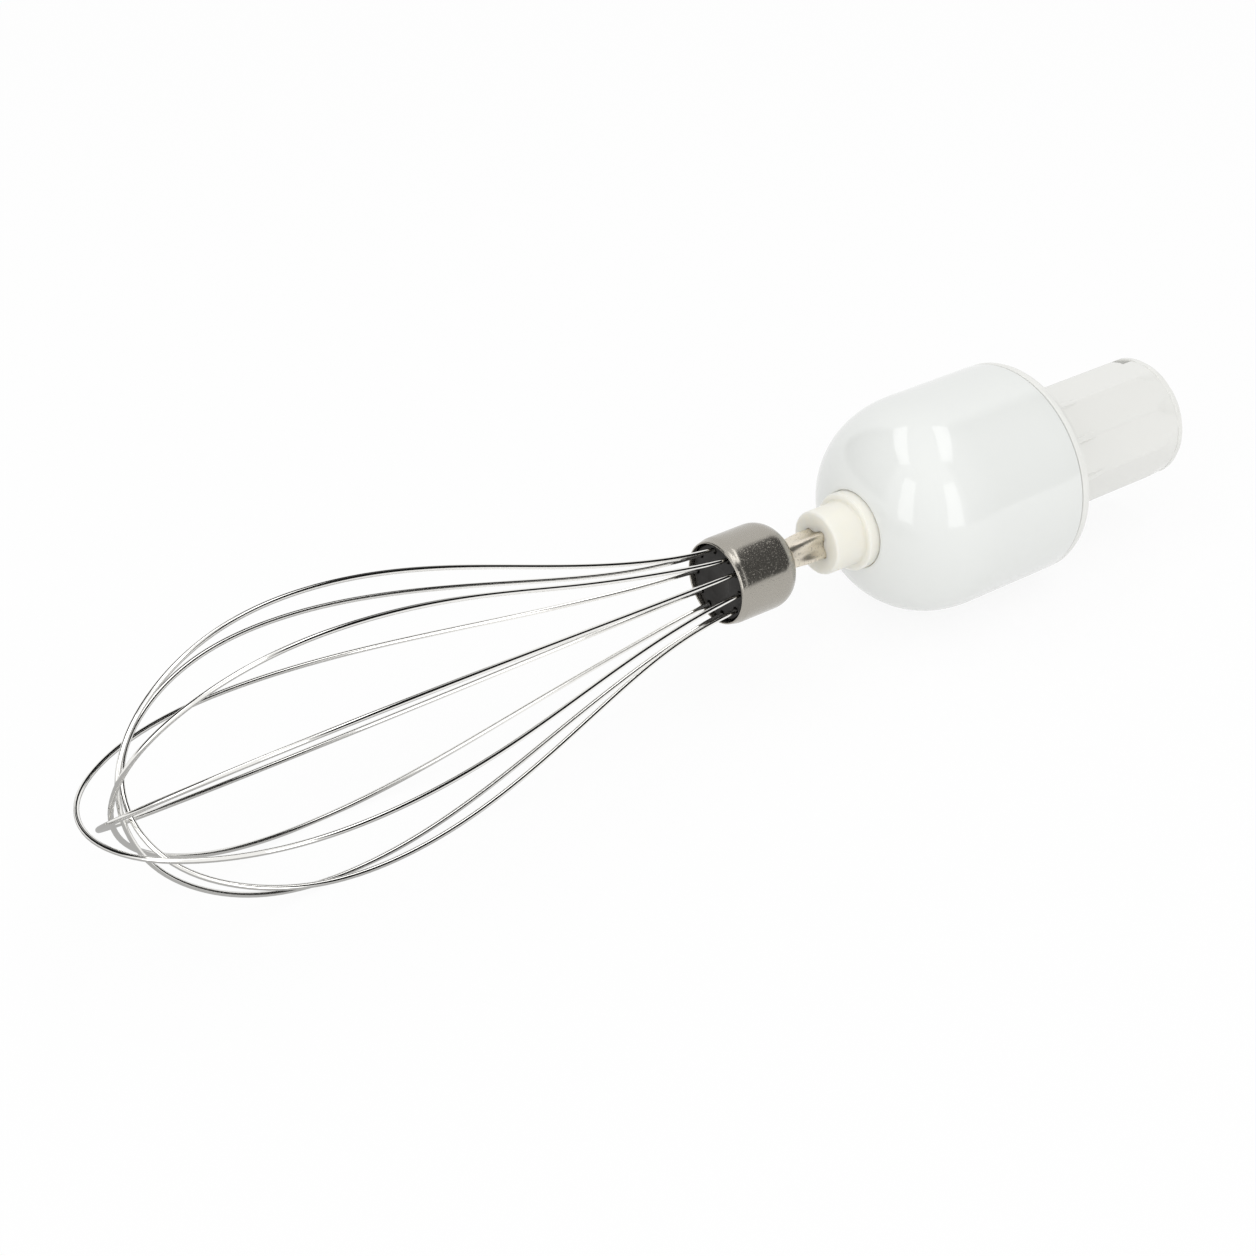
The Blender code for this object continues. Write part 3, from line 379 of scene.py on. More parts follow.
def smooth(piece, sharp_angle):
    """Smooth shading, with edges above the angle in degrees kept sharp."""
    piece.data.shade_smooth()
    piece.data.set_sharp_from_angle(angle=math.radians(sharp_angle))


def dress(piece, material):
    """Give the piece one material."""
    piece.data.materials.clear()
    piece.data.materials.append(material)


def settle(piece, node, body, material):
    """The finished piece stands for its CAD node and rides on that node's body."""
    dress(piece, material)
    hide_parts(node)
    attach(piece, body)


def new_group(name, inputs, outputs):
    """An empty shader node group with float inputs and the named outputs."""
    group = bpy.data.node_groups.new(name, "ShaderNodeTree")
    for label, value in inputs:
        socket = group.interface.new_socket(label, in_out="INPUT", socket_type="NodeSocketFloat")
        socket.default_value = value
    for label, kind in outputs:
        group.interface.new_socket(label, in_out="OUTPUT", socket_type=kind)
    return group, group.nodes.new("NodeGroupInput"), group.nodes.new("NodeGroupOutput")


def feed(tree, value, socket):
    """Link another node's output to the socket, or set a number on it."""
    if isinstance(value, bpy.types.NodeSocket):
        tree.links.new(value, socket)
    else:
        socket.default_value = value


def noise(tree, vector, scale, detail):
    """Noise texture on the vector. The scale may be a socket or a number."""
    node = tree.nodes.new("ShaderNodeTexNoise")
    node.inputs["Detail"].default_value = detail
    tree.links.new(vector, node.inputs["Vector"])
    feed(tree, scale, node.inputs["Scale"])
    return node.outputs["Fac"]


def spread(tree, value, low, high, to_low, to_high):
    """Map Range from low..high to to_low..to_high. The ends may be sockets or numbers."""
    node = tree.nodes.new("ShaderNodeMapRange")
    ends = {"From Min": low, "From Max": high, "To Min": to_low, "To Max": to_high}
    for name, end in ends.items():
        feed(tree, end, node.inputs[name])
    tree.links.new(value, node.inputs["Value"])
    return node.outputs["Result"]


def bump(tree, height, strength, distance):
    """Normal of a bumpy skin. The distance may be a socket or a number."""
    node = tree.nodes.new("ShaderNodeBump")
    node.inputs["Strength"].default_value = strength
    feed(tree, distance, node.inputs["Distance"])
    tree.links.new(height, node.inputs["Height"])
    return node.outputs["Normal"]


def calculated(tree, operation, first, second):
    """Result of a Math node on two sockets or numbers."""
    node = tree.nodes.new("ShaderNodeMath")
    node.operation = operation
    feed(tree, first, node.inputs[0])
    feed(tree, second, node.inputs[1])
    return node.outputs[0]


def moulded_group():
    """Dull handling marks, cloudy tone and fine pits of a moulded plastic skin."""
    name = "moulded skin"
    if name in bpy.data.node_groups:
        return bpy.data.node_groups[name]
    group, start, end = new_group(
        name,
        (("Gloss Roughness", 0.15), ("Dull Roughness", 0.25), ("Pit Depth", 0.00001)),
        (("Roughness", "NodeSocketFloat"), ("Tone", "NodeSocketFloat"),
         ("Normal", "NodeSocketVector")))
    place = group.nodes.new("ShaderNodeTexCoord").outputs["Object"]
    marks = noise(group, place, scale=120, detail=3)
    cloud = noise(group, place, scale=35, detail=2)
    pits = noise(group, place, scale=1400, detail=2)
    rough = spread(group, marks, 0.35, 0.70, start.outputs["Gloss Roughness"],
                   start.outputs["Dull Roughness"])
    pitted = bump(group, pits, strength=0.5, distance=start.outputs["Pit Depth"])
    group.links.new(rough, end.inputs["Roughness"])
    group.links.new(cloud, end.inputs["Tone"])
    group.links.new(pitted, end.inputs["Normal"])
    return group


def metal_group():
    """Grain, rough specks and dull patches of plated or drawn metal."""
    name = "metal grain"
    if name in bpy.data.node_groups:
        return bpy.data.node_groups[name]
    group, start, end = new_group(
        name,
        (("Grain Scale", 3500.0), ("Polished Roughness", 0.12), ("Dull Roughness", 0.35),
         ("Speck Roughness", 0.35), ("Grain Depth", 0.00001)),
        (("Roughness", "NodeSocketFloat"), ("Speckle", "NodeSocketFloat"),
         ("Normal", "NodeSocketVector")))
    place = group.nodes.new("ShaderNodeTexCoord").outputs["Object"]
    grain = noise(group, place, scale=start.outputs["Grain Scale"], detail=2)
    patch = noise(group, place, scale=220, detail=3)
    specks = spread(group, grain, 0.58, 0.65, 0.0, 1.0)
    ground = spread(group, patch, 0.30, 0.70, start.outputs["Polished Roughness"],
                    start.outputs["Dull Roughness"])
    grained = bump(group, grain, strength=0.6, distance=start.outputs["Grain Depth"])
    rough = group.nodes.new("ShaderNodeMix")
    group.links.new(specks, rough.inputs["Factor"])
    group.links.new(ground, rough.inputs["A"])
    group.links.new(start.outputs["Speck Roughness"], rough.inputs["B"])
    group.links.new(rough.outputs["Result"], end.inputs["Roughness"])
    group.links.new(specks, end.inputs["Speckle"])
    group.links.new(grained, end.inputs["Normal"])
    return group


def new_material(name, colour, **sockets):
    """A material whose Principled shader has the uniform values on its own sockets."""
    material = bpy.data.materials.new(name)
    material.use_nodes = True
    shader = material.node_tree.nodes["Principled BSDF"]
    shader.inputs["Base Color"].default_value = (*colour, 1)
    for socket, value in sockets.items():
        shader.inputs[socket.replace("_", " ")].default_value = value
    material.diffuse_color = (*colour, 1)
    return material, material.node_tree, shader


def tinted(tree, mask, colour, other, shader):
    """Base Color that changes between two colours with the mask."""
    mix = tree.nodes.new("ShaderNodeMix")
    mix.data_type = "RGBA"
    mix.inputs["A"].default_value = (*colour, 1)
    mix.inputs["B"].default_value = (*other, 1)
    tree.links.new(mask, mix.inputs["Factor"])
    tree.links.new(mix.outputs["Result"], shader.inputs["Base Color"])


def toned(colour, change):
    """The colour with every channel multiplied."""
    return [channel * change for channel in colour]


def finish(name, colour, group, values, mask, other, **sockets):
    """A material with the group's roughness and normal, whose mask brings in another colour."""
    material, tree, shader = new_material(name, colour, **sockets)
    skin = tree.nodes.new("ShaderNodeGroup")
    skin.node_tree = group
    for label, value in values.items():
        skin.inputs[label].default_value = value
    for label in ("Roughness", "Normal"):
        tree.links.new(skin.outputs[label], shader.inputs[label])
    tinted(tree, skin.outputs[mask], colour, other, shader)
    return material


def plastic(name, colour, gloss, dull, pit, change=0.97, **sockets):
    """Moulded plastic between a gloss and a dull roughness, with pits of the given depth."""
    values = {"Gloss Roughness": gloss, "Dull Roughness": dull, "Pit Depth": pit}
    return finish(name, colour, moulded_group(), values, "Tone", toned(colour, change), **sockets)


def metal(name, colour, polished, dull, speck, scale, depth, speckle, metallic=1.0):
    """Metal between a polished and a dull roughness, with specks of their own finish."""
    values = {"Grain Scale": scale, "Polished Roughness": polished, "Dull Roughness": dull,
              "Speck Roughness": speck, "Grain Depth": depth}
    return finish(name, colour, metal_group(), values, "Speckle", speckle, Metallic=metallic)


def housing_plastic():
    return plastic("glossy white housing", settings().housing_colour, gloss=0.04, dull=0.08,
                   pit=0.0006 * MM)


def cover_plastic():
    return plastic("white cover", settings().cover_colour, gloss=0.16, dull=0.26, pit=0.002 * MM)


def nylon():
    return plastic("ivory nylon", settings().nylon_colour, gloss=0.38, dull=0.50, pit=0.006 * MM,
                   change=0.95, Subsurface_Weight=0.8, Subsurface_Scale=0.004,
                   Subsurface_Radius=(1.0, 0.95, 0.85))


def nickel_plate():
    colour = settings().nickel_colour
    # The specks are the plate's real rough grain. Their colour, 1.12 times the plate's, is a
    # painted glint of that grain catching the lamps.
    return metal("satin nickel", colour, polished=0.15, dull=0.22, speck=0.48, scale=3400.0,
                 depth=0.005 * MM, speckle=toned(colour, 1.12), metallic=0.88)


def stem_metal():
    colour = settings().stem_colour
    return metal("tumbled stem metal", colour, polished=0.33, dull=0.43, speck=0.55, scale=2600.0,
                 depth=0.014 * MM, speckle=toned(colour, 0.72))


def stainless():
    colour = settings().wire_colour
    return metal("bright stainless wire", colour, polished=0.03, dull=0.06, speck=0.08,
                 scale=2500.0, depth=0.0, speckle=toned(colour, 1.03))


def black_moulding():
    return plastic("matte black moulding", settings().plug_colour, gloss=0.42, dull=0.60,
                   pit=0.015 * MM, change=1.5, Specular_IOR_Level=0.25)


def machined_steel():
    return metal("turned steel", (0.55, 0.55, 0.54), polished=0.18, dull=0.30, speck=0.35,
                 scale=1800.0, depth=0.004 * MM, speckle=(0.62, 0.62, 0.61))


def bronze():
    return metal("sintered bronze", (0.50, 0.36, 0.20), polished=0.35, dull=0.50, speck=0.65,
                 scale=2600.0, depth=0.02 * MM, speckle=(0.30, 0.22, 0.13))


def gear_nylon():
    return plastic("gear nylon", (0.78, 0.77, 0.71), gloss=0.35, dull=0.45, pit=0.004 * MM)


def front_housing():
    """Glossy dome with a rounded rim round the output socket and a small edge at the seam."""
    rim, edge = 0.4 * MM, 0.25 * MM
    outside = dome_curve(SOCKET_HOLE_RADIUS + rim, inset=0, count=56)
    inside = dome_curve(HOLE_BOSS_RADIUS, inset=HOUSING_WALL, count=32)
    profile = arc((SOCKET_HOLE_RADIUS + rim, outside[0][1] - rim), rim, 180, 95, count=6)
    profile += outside[1:]
    profile += [(HOUSING_RADIUS, station) for station in HOUSING_STATIONS]
    profile += arc((HOUSING_RADIUS - edge, SEAM_STATION + edge), edge, 0, -90, count=5)
    profile += [(HOUSING_RADIUS - HOUSING_WALL, SEAM_STATION)] + inside[::-1]
    profile += [(HOLE_BOSS_RADIUS, HOLE_BOSS_STATION), (SOCKET_HOLE_RADIUS, HOLE_BOSS_STATION)]
    piece = mesh_object("gearbox_dome", spun(profile, steps=160))
    smooth(piece, sharp_angle=50)
    return piece


def neck_reach(radius, angle, station):
    """Radius of the neck's skin: the turned envelope cut by ten flats, with ribbed corners."""
    side = 2 * math.pi / NECK_SIDES
    off = (angle + side / 2) % side - side / 2
    flat = NECK_CORNER_RADIUS * math.cos(side / 2)
    reach = min(radius, flat / math.cos(off), NECK_CORNER_RADIUS - NECK_CORNER_BLUNTING)
    from_corner = (side / 2 - abs(off)) * NECK_CORNER_RADIUS
    low, high = RIB_STATIONS
    if low < station < high and from_corner < RIB_HALF_WIDTH:
        rise = min(1.0, (station - low) / RIB_RISE_LENGTH)
        reach = max(reach, min(radius, RIB_LOW_RADIUS + rise * RIB_HEIGHT))
    return reach


def rear_cover():
    """Cover with its spigot, flange, shallow dome, ten-sided neck, web and bearing boss."""
    edge = 0.35 * MM
    profile = metres(COVER_SPIGOT) + [(FLANGE_RADIUS - edge, FLANGE_STATION)]
    profile += arc((FLANGE_RADIUS - edge, FLANGE_STATION - edge), edge, 80, 0, count=5)
    profile += metres(COVER_SHOULDER)
    profile += [(NECK_TURNED_RADIUS, station * MM) for station in NECK_STATIONS]
    profile += metres(NECK_LIP)
    profile += arc((NECK_END_RADIUS - edge, edge), edge, -15, -90, count=4)
    profile += metres(COVER_BORE)
    shape = spun(profile, steps=360)
    for vert in shape.verts:
        radius = math.hypot(vert.co.x, vert.co.y)
        if radius > NECK_WALL_RADIUS and vert.co.z < FLATS_STATION:
            angle = math.atan2(vert.co.y, vert.co.x)
            reach = neck_reach(radius, angle, vert.co.z)
            vert.co.x, vert.co.y = polar(reach, angle)
    bmesh.ops.recalc_face_normals(shape, faces=shape.faces)
    piece = mesh_object("rear_cover_skin", shape)
    for turn in (0, math.pi):
        window = box(WINDOW_SIZE, (NECK_END_RADIUS, 0, WINDOW_STATION), WINDOW_ANGLE + turn)
        combine(piece, window, "DIFFERENCE")
    smooth(piece, sharp_angle=16)
    return piece


def lobed(count, lobe_radius, valley_radius):
    """Closed outline of the stem with its four lobes, as (x, y) points."""
    points = []
    for i in range(count):
        angle = 2 * math.pi * i / count
        share = (0.5 + 0.5 * math.cos(STEM_LOBES * (angle - LOBE_ANGLE))) ** LOBE_SHARPNESS
        points.append(polar(valley_radius + (lobe_radius - valley_radius) * share, angle))
    return points


def widened(outline, distance):
    """A closed outline with every point moved outwards at right angles to it."""
    points = []
    for i, (x, y) in enumerate(outline):
        before, after = outline[i - 1], outline[(i + 1) % len(outline)]
        along = Vector((after[0] - before[0], after[1] - before[1])).normalized()
        points.append((x + distance * along.y, y - distance * along.x))
    return points


def output_socket():
    """Nylon nose with its lobed bore, journal with the ring's groove, planet flange and posts."""
    edge = 0.6 * MM
    profile = [(0, SOCKET_FACE_STATION)]
    profile += arc((SOCKET_NOSE_RADIUS - edge, SOCKET_FACE_STATION - edge), edge, 90, 0, count=8)
    profile += metres(SOCKET_SIDE)
    piece = mesh_object("output_socket_nylon", spun(profile, steps=128, closed=False))
    outline = widened(lobed(BORE_POINTS, LOBE_RADIUS * MM, VALLEY_RADIUS * MM), BORE_CLEARANCE)
    bore = lofted([(BORE_STATION, outline), (SOCKET_FACE_STATION + 1 * MM, outline)])
    combine(piece, bore, "DIFFERENCE")
    slot = box(FINGER_SLOT_SIZE, (0, 0, SNAP_RING_STATION), LOBE_ANGLE + math.pi / STEM_LOBES)
    combine(piece, slot, "DIFFERENCE")
    combine(piece, cylinder(*PILOT_HOLE), "DIFFERENCE")
    for i in range(PLANET_COUNT):
        on_pin = polar(PLANET_CIRCLE_RADIUS, 2 * math.pi * i / PLANET_COUNT)
        combine(piece, cylinder(*PIN_HOLE, on_pin), "DIFFERENCE")
        between_pins = polar(POST_CIRCLE_RADIUS, 2 * math.pi * (i + 0.5) / PLANET_COUNT)
        combine(piece, cylinder(*POST, between_pins), "UNION")
        combine(piece, cylinder(*TENON, between_pins), "UNION")
    smooth(piece, sharp_angle=30)
    return piece


def drive_stem():
    """Formed stem: four soft lobes that fade out just before the ferrule."""
    rows = list(STEM_KEYED_PART)
    first, last = FADE_STATIONS
    for i in range(FADE_STEPS + 1):
        station = first + (last - first) * i / FADE_STEPS
        share = min(1.0, max(0.0, (LOBES_END_STATION - station) / LOBES_FADE_LENGTH))
        share = share * share * (3 - 2 * share)
        lobe = SHOULDER_LOBE_RADIUS + (LOBE_RADIUS - SHOULDER_LOBE_RADIUS) * share
        valley = SHOULDER_VALLEY_RADIUS + (VALLEY_RADIUS - SHOULDER_VALLEY_RADIUS) * share
        rows.append((station, lobe, valley))
    rows += STEM_ROUND_PART
    sections = [(station * MM, lobed(STEM_POINTS, lobe * MM, valley * MM))
                for station, lobe, valley in rows]
    piece = mesh_object("drive_stem_plated", lofted(sections))
    smooth(piece, sharp_angle=40)
    return piece


def ferrule():
    """Deep-drawn cup: round shoulder at the back, straight wall and a rolled rim at the mouth."""
    corner = (FERRULE_RADIUS - FERRULE_SHOULDER, FERRULE_BACK + FERRULE_SHOULDER)
    profile = metres(FERRULE_LIP)
    profile += arc(corner, FERRULE_SHOULDER, 0, -90, count=24)
    profile += metres(FERRULE_HOLE)
    profile += arc(corner, FERRULE_SHOULDER - FERRULE_SHEET, -90, 0, count=16)
    profile += metres(FERRULE_LINING)
    piece = mesh_object("ferrule_drawn", spun(profile, steps=144))
    smooth(piece, sharp_angle=60)
    return piece


def loop_angle(index):
    """Angle of a wire loop's plane about the axis."""
    return LOOP_ANGLE - index * math.pi / LOOP_COUNT + LOOPS[index][2]


def wire_plug():
    """Moulded disc with a shallow sunk ring and a hole for each wire end."""
    piece = mesh_object("wire_plug_moulded", spun(metres(PLUG_PROFILE), steps=96, closed=False))
    for turn in (0, math.pi):
        for index in range(LOOP_COUNT):
            place = polar(HUB_RADIUS, loop_angle(index) + turn)
            combine(piece, cylinder(*WIRE_HOLE, place, segments=24), "DIFFERENCE")
    smooth(piece, sharp_angle=35)
    return piece


def smooth_curve(points, samples):
    """Evenly spaced points on a natural cubic spline through the given points."""
    knots = np.array(points)
    steps = np.linalg.norm(np.diff(knots, axis=0), axis=1)
    lengths = np.concatenate([[0], np.cumsum(steps)])
    count = len(knots)
    system, bends = np.eye(count), np.zeros_like(knots)
    for i in range(1, count - 1):
        before, after = steps[i - 1], steps[i]
        system[i, i - 1:i + 2] = (before, 2 * (before + after), after)
        bends[i] = 6 * ((knots[i + 1] - knots[i]) / after - (knots[i] - knots[i - 1]) / before)
    bends = np.linalg.solve(system, bends)
    curve = []
    for length in np.linspace(0, lengths[-1], samples):
        i = min(int(np.searchsorted(lengths, length, side="right")) - 1, count - 2)
        step = steps[i]
        left, right = lengths[i + 1] - length, length - lengths[i]
        curve.append((bends[i] * left ** 3 + bends[i + 1] * right ** 3) / (6 * step)
                     + (knots[i] / step - bends[i] * step / 6) * left
                     + (knots[i + 1] / step - bends[i + 1] * step / 6) * right)
    return curve


def loop_line(index, samples):
    """Centre line of one wire loop in its own plane: (distance from the axis, station)."""
    crown, width, _, lean = LOOPS[index]
    length = crown - HUB_STATION
    half = [(HUB_RADIUS, WIRE_END_STATION), (HUB_RADIUS + SPLAY, SPLAY_STATION)]
    half += [(radius * width, HUB_STATION + share * length) for share, radius in BALLOON]
    whole = half + [(0, crown)] + [(-radius, station) for radius, station in half[::-1]]
    bowed = []
    for radius, station in whole:
        reach = max(0.0, station - HUB_STATION) / LEAN_LENGTH
        bowed.append((radius + lean * reach ** 2, station))
    return smooth_curve(bowed, samples)


def wire_loop(index):
    """One wire, swept along its loop, with both ends in the plug."""
    name = f"wire_loop_{index + 1}_drawn"
    curve = bpy.data.curves.new(name, "CURVE")
    curve.dimensions = "3D"
    curve.bevel_depth = settings().wire_diameter / 2
    curve.bevel_resolution = 4
    curve.use_fill_caps = True
    line = loop_line(index, 2 * settings().wire_samples + 1)
    spline = curve.splines.new("POLY")
    spline.points.add(len(line) - 1)
    for point, (distance, station) in zip(spline.points, line):
        point.co = (*(LYING @ Vector((*polar(distance, loop_angle(index)), station))), 1)
    spline.use_smooth = True
    piece = bpy.data.objects.new(name, curve)
    bpy.context.scene.collection.objects.link(piece)
    return piece


def show_white(tree, surface, white, share, output):
    """The surface as it is lit, and a share of plain white for camera, mirror and glass rays."""
    rays = tree.nodes.new("ShaderNodeLightPath")
    seen = rays.outputs["Is Camera Ray"]
    for name in ("Is Glossy Ray", "Is Transmission Ray"):
        seen = calculated(tree, "MAXIMUM", seen, rays.outputs[name])
    blend(tree, calculated(tree, "MULTIPLY", seen, share), surface, white, output)


def blend(tree, factor, first, second, output):
    """Mix of two shaders, sent to an output node of the named type."""
    mix = tree.nodes.new("ShaderNodeMixShader")
    tree.links.new(factor, mix.inputs["Fac"])
    tree.links.new(first, mix.inputs[1])
    tree.links.new(second, mix.inputs[2])
    end = tree.nodes.new(output)
    tree.links.new(mix.outputs["Shader"], end.inputs["Surface"])


def emptied(data):
    """Node tree of a new material or world, without its first nodes."""
    data.use_nodes = True
    data.node_tree.nodes.clear()
    return data.node_tree


def glowing(tree, kind, strength, level=1.0):
    """Output of a Background or Emission node of one grey."""
    node = tree.nodes.new(kind)
    node.inputs["Color"].default_value = (level, level, level, 1)
    node.inputs["Strength"].default_value = strength
    return node.outputs[0]


def studio_world():
    """Even soft light, seen as white."""
    world = bpy.data.worlds.new("studio")
    bpy.context.scene.world = world
    tree = emptied(world)
    lit = glowing(tree, "ShaderNodeBackground", strength=WORLD_STRENGTH)
    white = glowing(tree, "ShaderNodeBackground", strength=1.0)
    show_white(tree, lit, white, 1.0, "ShaderNodeOutputWorld")


def floor():
    """Pale table that keeps a soft shadow and otherwise shows the white background."""
    shape = bmesh.new()
    bmesh.ops.create_grid(shape, x_segments=1, y_segments=1, size=6.0)
    piece = mesh_object("pale_floor", shape, laid=False)
    material = bpy.data.materials.new("pale floor")
    tree = emptied(material)
    matte = tree.nodes.new("ShaderNodeBsdfDiffuse")
    matte.inputs["Color"].default_value = (FLOOR_GREY, FLOOR_GREY, FLOOR_GREY, 1)
    white = glowing(tree, "ShaderNodeEmission", strength=1.0)
    show_white(tree, matte.outputs["BSDF"], white, FLOOR_WHITE, "ShaderNodeOutputMaterial")
    dress(piece, material)


def card(name, shape, brightness):
    """A studio card with soft edges that only mirrors show."""
    piece = mesh_object(name, shape, laid=False)
    material = bpy.data.materials.new(name)
    tree = emptied(material)
    glow = glowing(tree, "ShaderNodeEmission", strength=1.0, level=brightness)
    clear = tree.nodes.new("ShaderNodeBsdfTransparent").outputs["BSDF"]
    split = tree.nodes.new("ShaderNodeSeparateXYZ")
    tree.links.new(tree.nodes.new("ShaderNodeTexCoord").outputs["UV"], split.inputs["Vector"])
    sides = []
    for axis in ("X", "Y"):
        inwards = calculated(tree, "PINGPONG", split.outputs[axis], 0.5)
        sides.append(spread(tree, inwards, 0.0, CARD_EDGE, 0.0, 1.0))
    cover = calculated(tree, "MULTIPLY", *sides)
    blend(tree, cover, clear, glow, "ShaderNodeOutputMaterial")
    dress(piece, material)
    piece.visible_camera = False
    piece.visible_diffuse = False
    piece.visible_shadow = False


def card_grid():
    """A flat bmesh card of one metre with a UV map."""
    shape = bmesh.new()
    shape.loops.layers.uv.new("card")
    bmesh.ops.create_grid(shape, x_segments=24, y_segments=12, size=0.5, calc_uvs=True)
    return shape


def between(ends, share):
    """The number at a share of the way between two ends."""
    return ends[0] + (ends[1] - ends[0]) * share


def bowed_card(azimuths, elevations, distance, centre):
    """Part of a sphere round the centre. In degrees, azimuth 0 is -Y and 90 is +X."""
    shape = card_grid()
    for vert in shape.verts:
        azimuth = math.radians(between(azimuths, vert.co.x + 0.5))
        elevation = math.radians(between(elevations, vert.co.y + 0.5))
        level = math.cos(elevation)
        away = Vector((level * math.sin(azimuth), -level * math.cos(azimuth), math.sin(elevation)))
        vert.co = Vector(centre) + distance * away
    return shape


def table_card(low, high):
    """A card lying just above the table, between two corners."""
    shape = card_grid()
    size = Matrix.Diagonal((high[0] - low[0], high[1] - low[1], 1, 1))
    middle = Matrix.Translation(((low[0] + high[0]) / 2, (low[1] + high[1]) / 2, CARD_LIFT))
    bmesh.ops.transform(shape, matrix=middle @ size, verts=shape.verts)
    return shape


def stand(centre, facing, along):
    """Place of a lamp at the centre, with its back towards facing and its long side along."""
    back = Vector(facing).normalized()
    side = Vector(along)
    side = (side - side.dot(back) * back).normalized()
    turn = Matrix((side, back.cross(side), back)).transposed().to_4x4()
    return Matrix.Translation(centre) @ turn


def soft_box(name, centre, facing, along, length, width, level, mirrored=True):
    """A rectangular soft box. Level is its brightness as a mirror would show it."""
    light = bpy.data.lights.new(name, "AREA")
    light.shape = "RECTANGLE"
    light.size = length
    light.size_y = width
    light.energy = level * math.pi * length * width
    piece = bpy.data.objects.new(name, light)
    bpy.context.scene.collection.objects.link(piece)
    piece.matrix_world = stand(centre, facing, along)
    piece.visible_glossy = mirrored


def camera():
    """The photograph's view, fixed to the attachment's axis."""
    view = bpy.data.cameras.new("photo_view")
    view.sensor_width = SENSOR_WIDTH
    view.lens = LENS_LENGTH
    view.clip_start = 0.01
    piece = bpy.data.objects.new("photo_view", view)
    bpy.context.scene.collection.objects.link(piece)
    right = (0, -0.60407, -0.79693)
    up = (0.8493, 0.42070, -0.31887)
    back = (0.5279, -0.67683, 0.51306)
    place = Matrix((right, up, back)).transposed().to_4x4()
    place.translation = CAMERA_PLACE
    piece.matrix_world = LYING @ place
    bpy.context.scene.camera = piece


class WHISK_OT_front_housing(bpy.types.Operator):
    """Make the glossy dome of the gearbox"""

    bl_idname = "whisk.front_housing"
    bl_label = "Front Housing"

    def execute(self, context):
        settle(front_housing(), "front_housing", "gearbox_housing",
               housing_plastic())
        return {"FINISHED"}


class WHISK_OT_rear_cover(bpy.types.Operator):
    """Make the rear cover with its ten-sided neck"""

    bl_idname = "whisk.rear_cover"
    bl_label = "Rear Cover"

    def execute(self, context):
        settle(rear_cover(), "rear_cover", "gearbox_housing", cover_plastic())
        return {"FINISHED"}


class WHISK_OT_output_socket(bpy.types.Operator):
    """Make the nylon socket that the stem plugs into"""

    bl_idname = "whisk.output_socket"
    bl_label = "Output Socket"

    def execute(self, context):
        settle(output_socket(), "output_socket", "output_carrier", nylon())
        return {"FINISHED"}


class WHISK_OT_drive_stem(bpy.types.Operator):
    """Make the four-lobed stem"""

    bl_idname = "whisk.drive_stem"
    bl_label = "Drive Stem"

    def execute(self, context):
        settle(drive_stem(), "drive_stem", "whisk", stem_metal())
        return {"FINISHED"}


class WHISK_OT_ferrule(bpy.types.Operator):
    """Make the drawn ferrule"""

    bl_idname = "whisk.ferrule"
    bl_label = "Ferrule"

    def execute(self, context):
        settle(ferrule(), "ferrule", "whisk", nickel_plate())
        return {"FINISHED"}


class WHISK_OT_wire_plug(bpy.types.Operator):
    """Make the black plug that holds the wire ends"""

    bl_idname = "whisk.wire_plug"
    bl_label = "Wire Plug"

    def execute(self, context):
        settle(wire_plug(), "wire_plug", "whisk", black_moulding())
        return {"FINISHED"}


class WHISK_OT_wire_loops(bpy.types.Operator):
    """Make the five wire loops of the balloon"""

    bl_idname = "whisk.wire_loops"
    bl_label = "Wire Loops"

    def execute(self, context):
        wire = stainless()
        for index in range(LOOP_COUNT):
            settle(wire_loop(index), f"wire_loop_{index + 1}", "whisk", wire)
        return {"FINISHED"}


class WHISK_OT_gear_train(bpy.types.Operator):
    """Give the gears, shaft, bearing and clips their finishes"""

    bl_idname = "whisk.gear_train"
    bl_label = "Gear Train"

    def execute(self, context):
        steel, teeth, bush = machined_steel(), gear_nylon(), bronze()
        finishes = {"sun_shaft": steel, "retaining_clip": steel, "snap_ring": steel,
                    "ring_gear": teeth, "carrier_plate": teeth, "thrust_washer": teeth,
                    "input_bearing": bush}
        for i in (1, 2, 3):
            finishes[f"planet_gear_{i}"] = teeth
            finishes[f"planet_pin_{i}"] = steel
        finishes["drive_coupling"] = black_moulding()
        for node, material in finishes.items():
            dress(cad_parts[node], material)
        return {"FINISHED"}


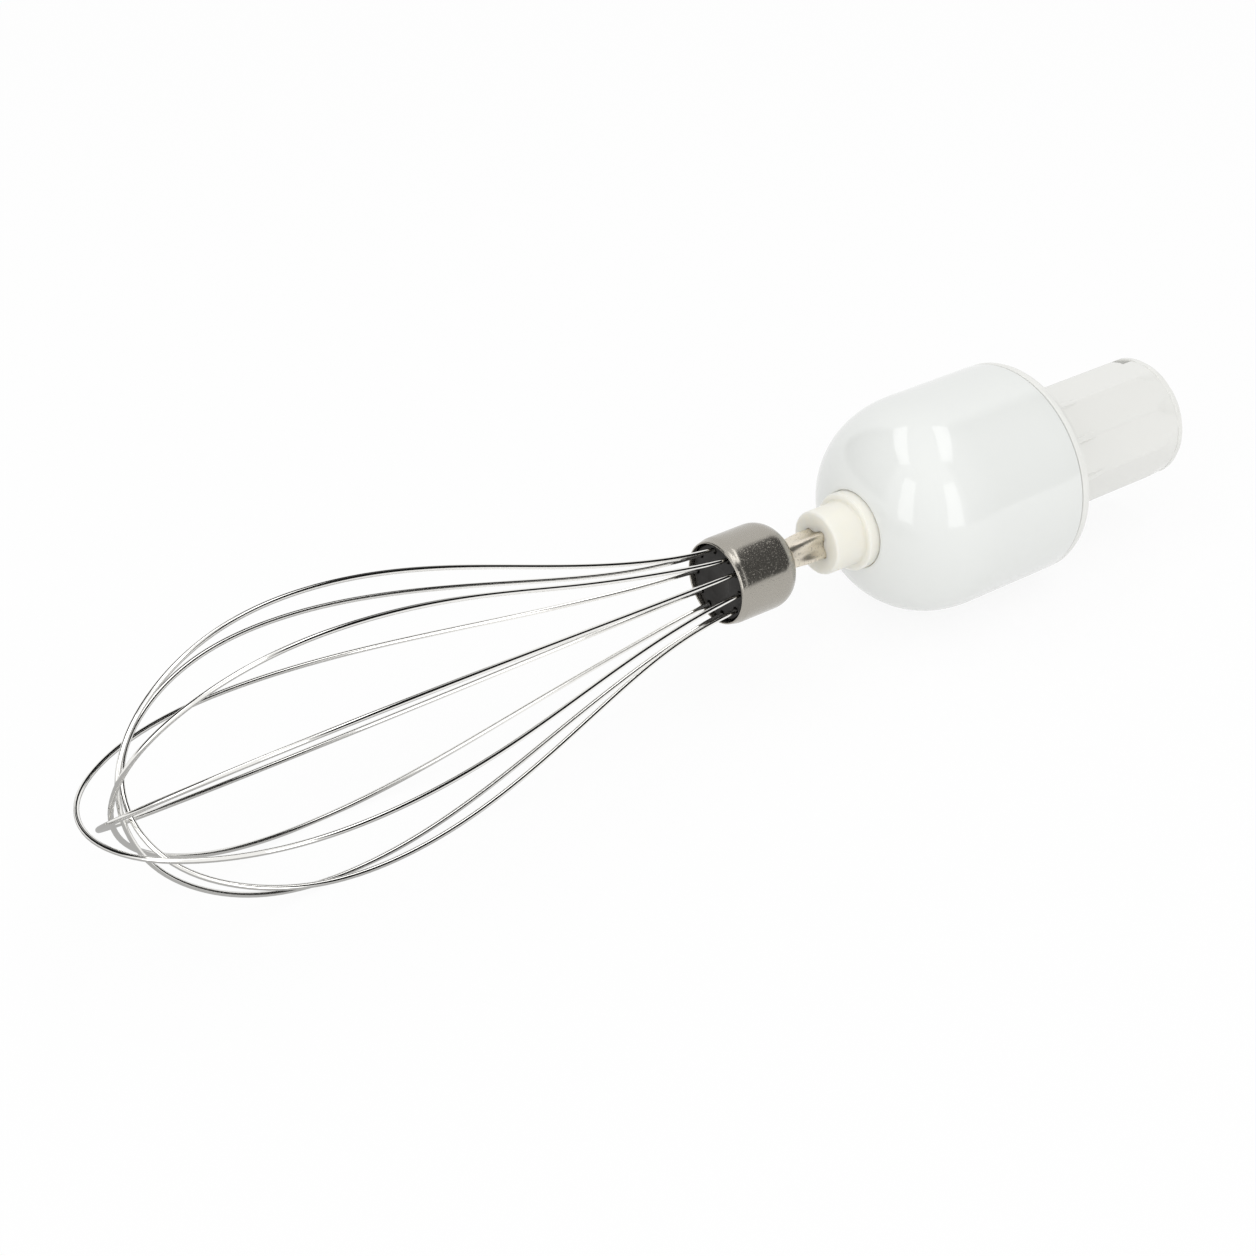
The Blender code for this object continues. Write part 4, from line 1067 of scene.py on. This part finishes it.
class WHISK_OT_studio(bpy.types.Operator):
    """Make the floor, soft light, cards and camera"""

    bl_idname = "whisk.studio"
    bl_label = "Studio"

    def execute(self, context):
        context.scene.view_settings.view_transform = "Standard"
        studio_world()
        floor()
        for lamp in SOFT_BOXES:
            soft_box(*lamp, MIRRORED_LEVEL)
        soft_box(*OVERHEAD_BOX, OVERHEAD_LEVEL, mirrored=False)
        for name, *place in DARK_CARDS:
            card(name, bowed_card(*place), DARK)
        card("grey_table_card", table_card(*GREY_CARD_CORNERS), GREY)
        camera()
        return {"FINISHED"}


class WHISK_PT_panel(bpy.types.Panel):
    """Sidebar panel of the whisk attachment"""

    bl_idname = "WHISK_PT_panel"
    bl_label = "Whisk Attachment"
    bl_space_type = "VIEW_3D"
    bl_region_type = "UI"
    bl_category = "Whisk"

    def draw(self, context):
        values = context.scene.whisk_attachment
        for name in ("wire_diameter", "wire_samples", "housing_colour", "cover_colour",
                     "nylon_colour", "nickel_colour", "stem_colour", "wire_colour",
                     "plug_colour"):
            self.layout.prop(values, name)
        for maker in MAKERS:
            self.layout.operator(maker.bl_idname)


MAKERS = (
    WHISK_OT_front_housing,
    WHISK_OT_rear_cover,
    WHISK_OT_output_socket,
    WHISK_OT_drive_stem,
    WHISK_OT_ferrule,
    WHISK_OT_wire_plug,
    WHISK_OT_wire_loops,
    WHISK_OT_gear_train,
    WHISK_OT_studio,
)


def register():
    for item in (WhiskSettings, *MAKERS, WHISK_PT_panel):
        bpy.utils.register_class(item)
    bpy.types.Scene.whisk_attachment = PointerProperty(type=WhiskSettings)


def unregister():
    del bpy.types.Scene.whisk_attachment
    for item in reversed((WhiskSettings, *MAKERS, WHISK_PT_panel)):
        bpy.utils.unregister_class(item)


def main():
    register()
    bpy.ops.whisk.front_housing()
    bpy.ops.whisk.rear_cover()
    bpy.ops.whisk.output_socket()
    bpy.ops.whisk.drive_stem()
    bpy.ops.whisk.ferrule()
    bpy.ops.whisk.wire_plug()
    bpy.ops.whisk.wire_loops()
    bpy.ops.whisk.gear_train()
    bpy.ops.whisk.studio()


if __name__ == "__main__":
    main()
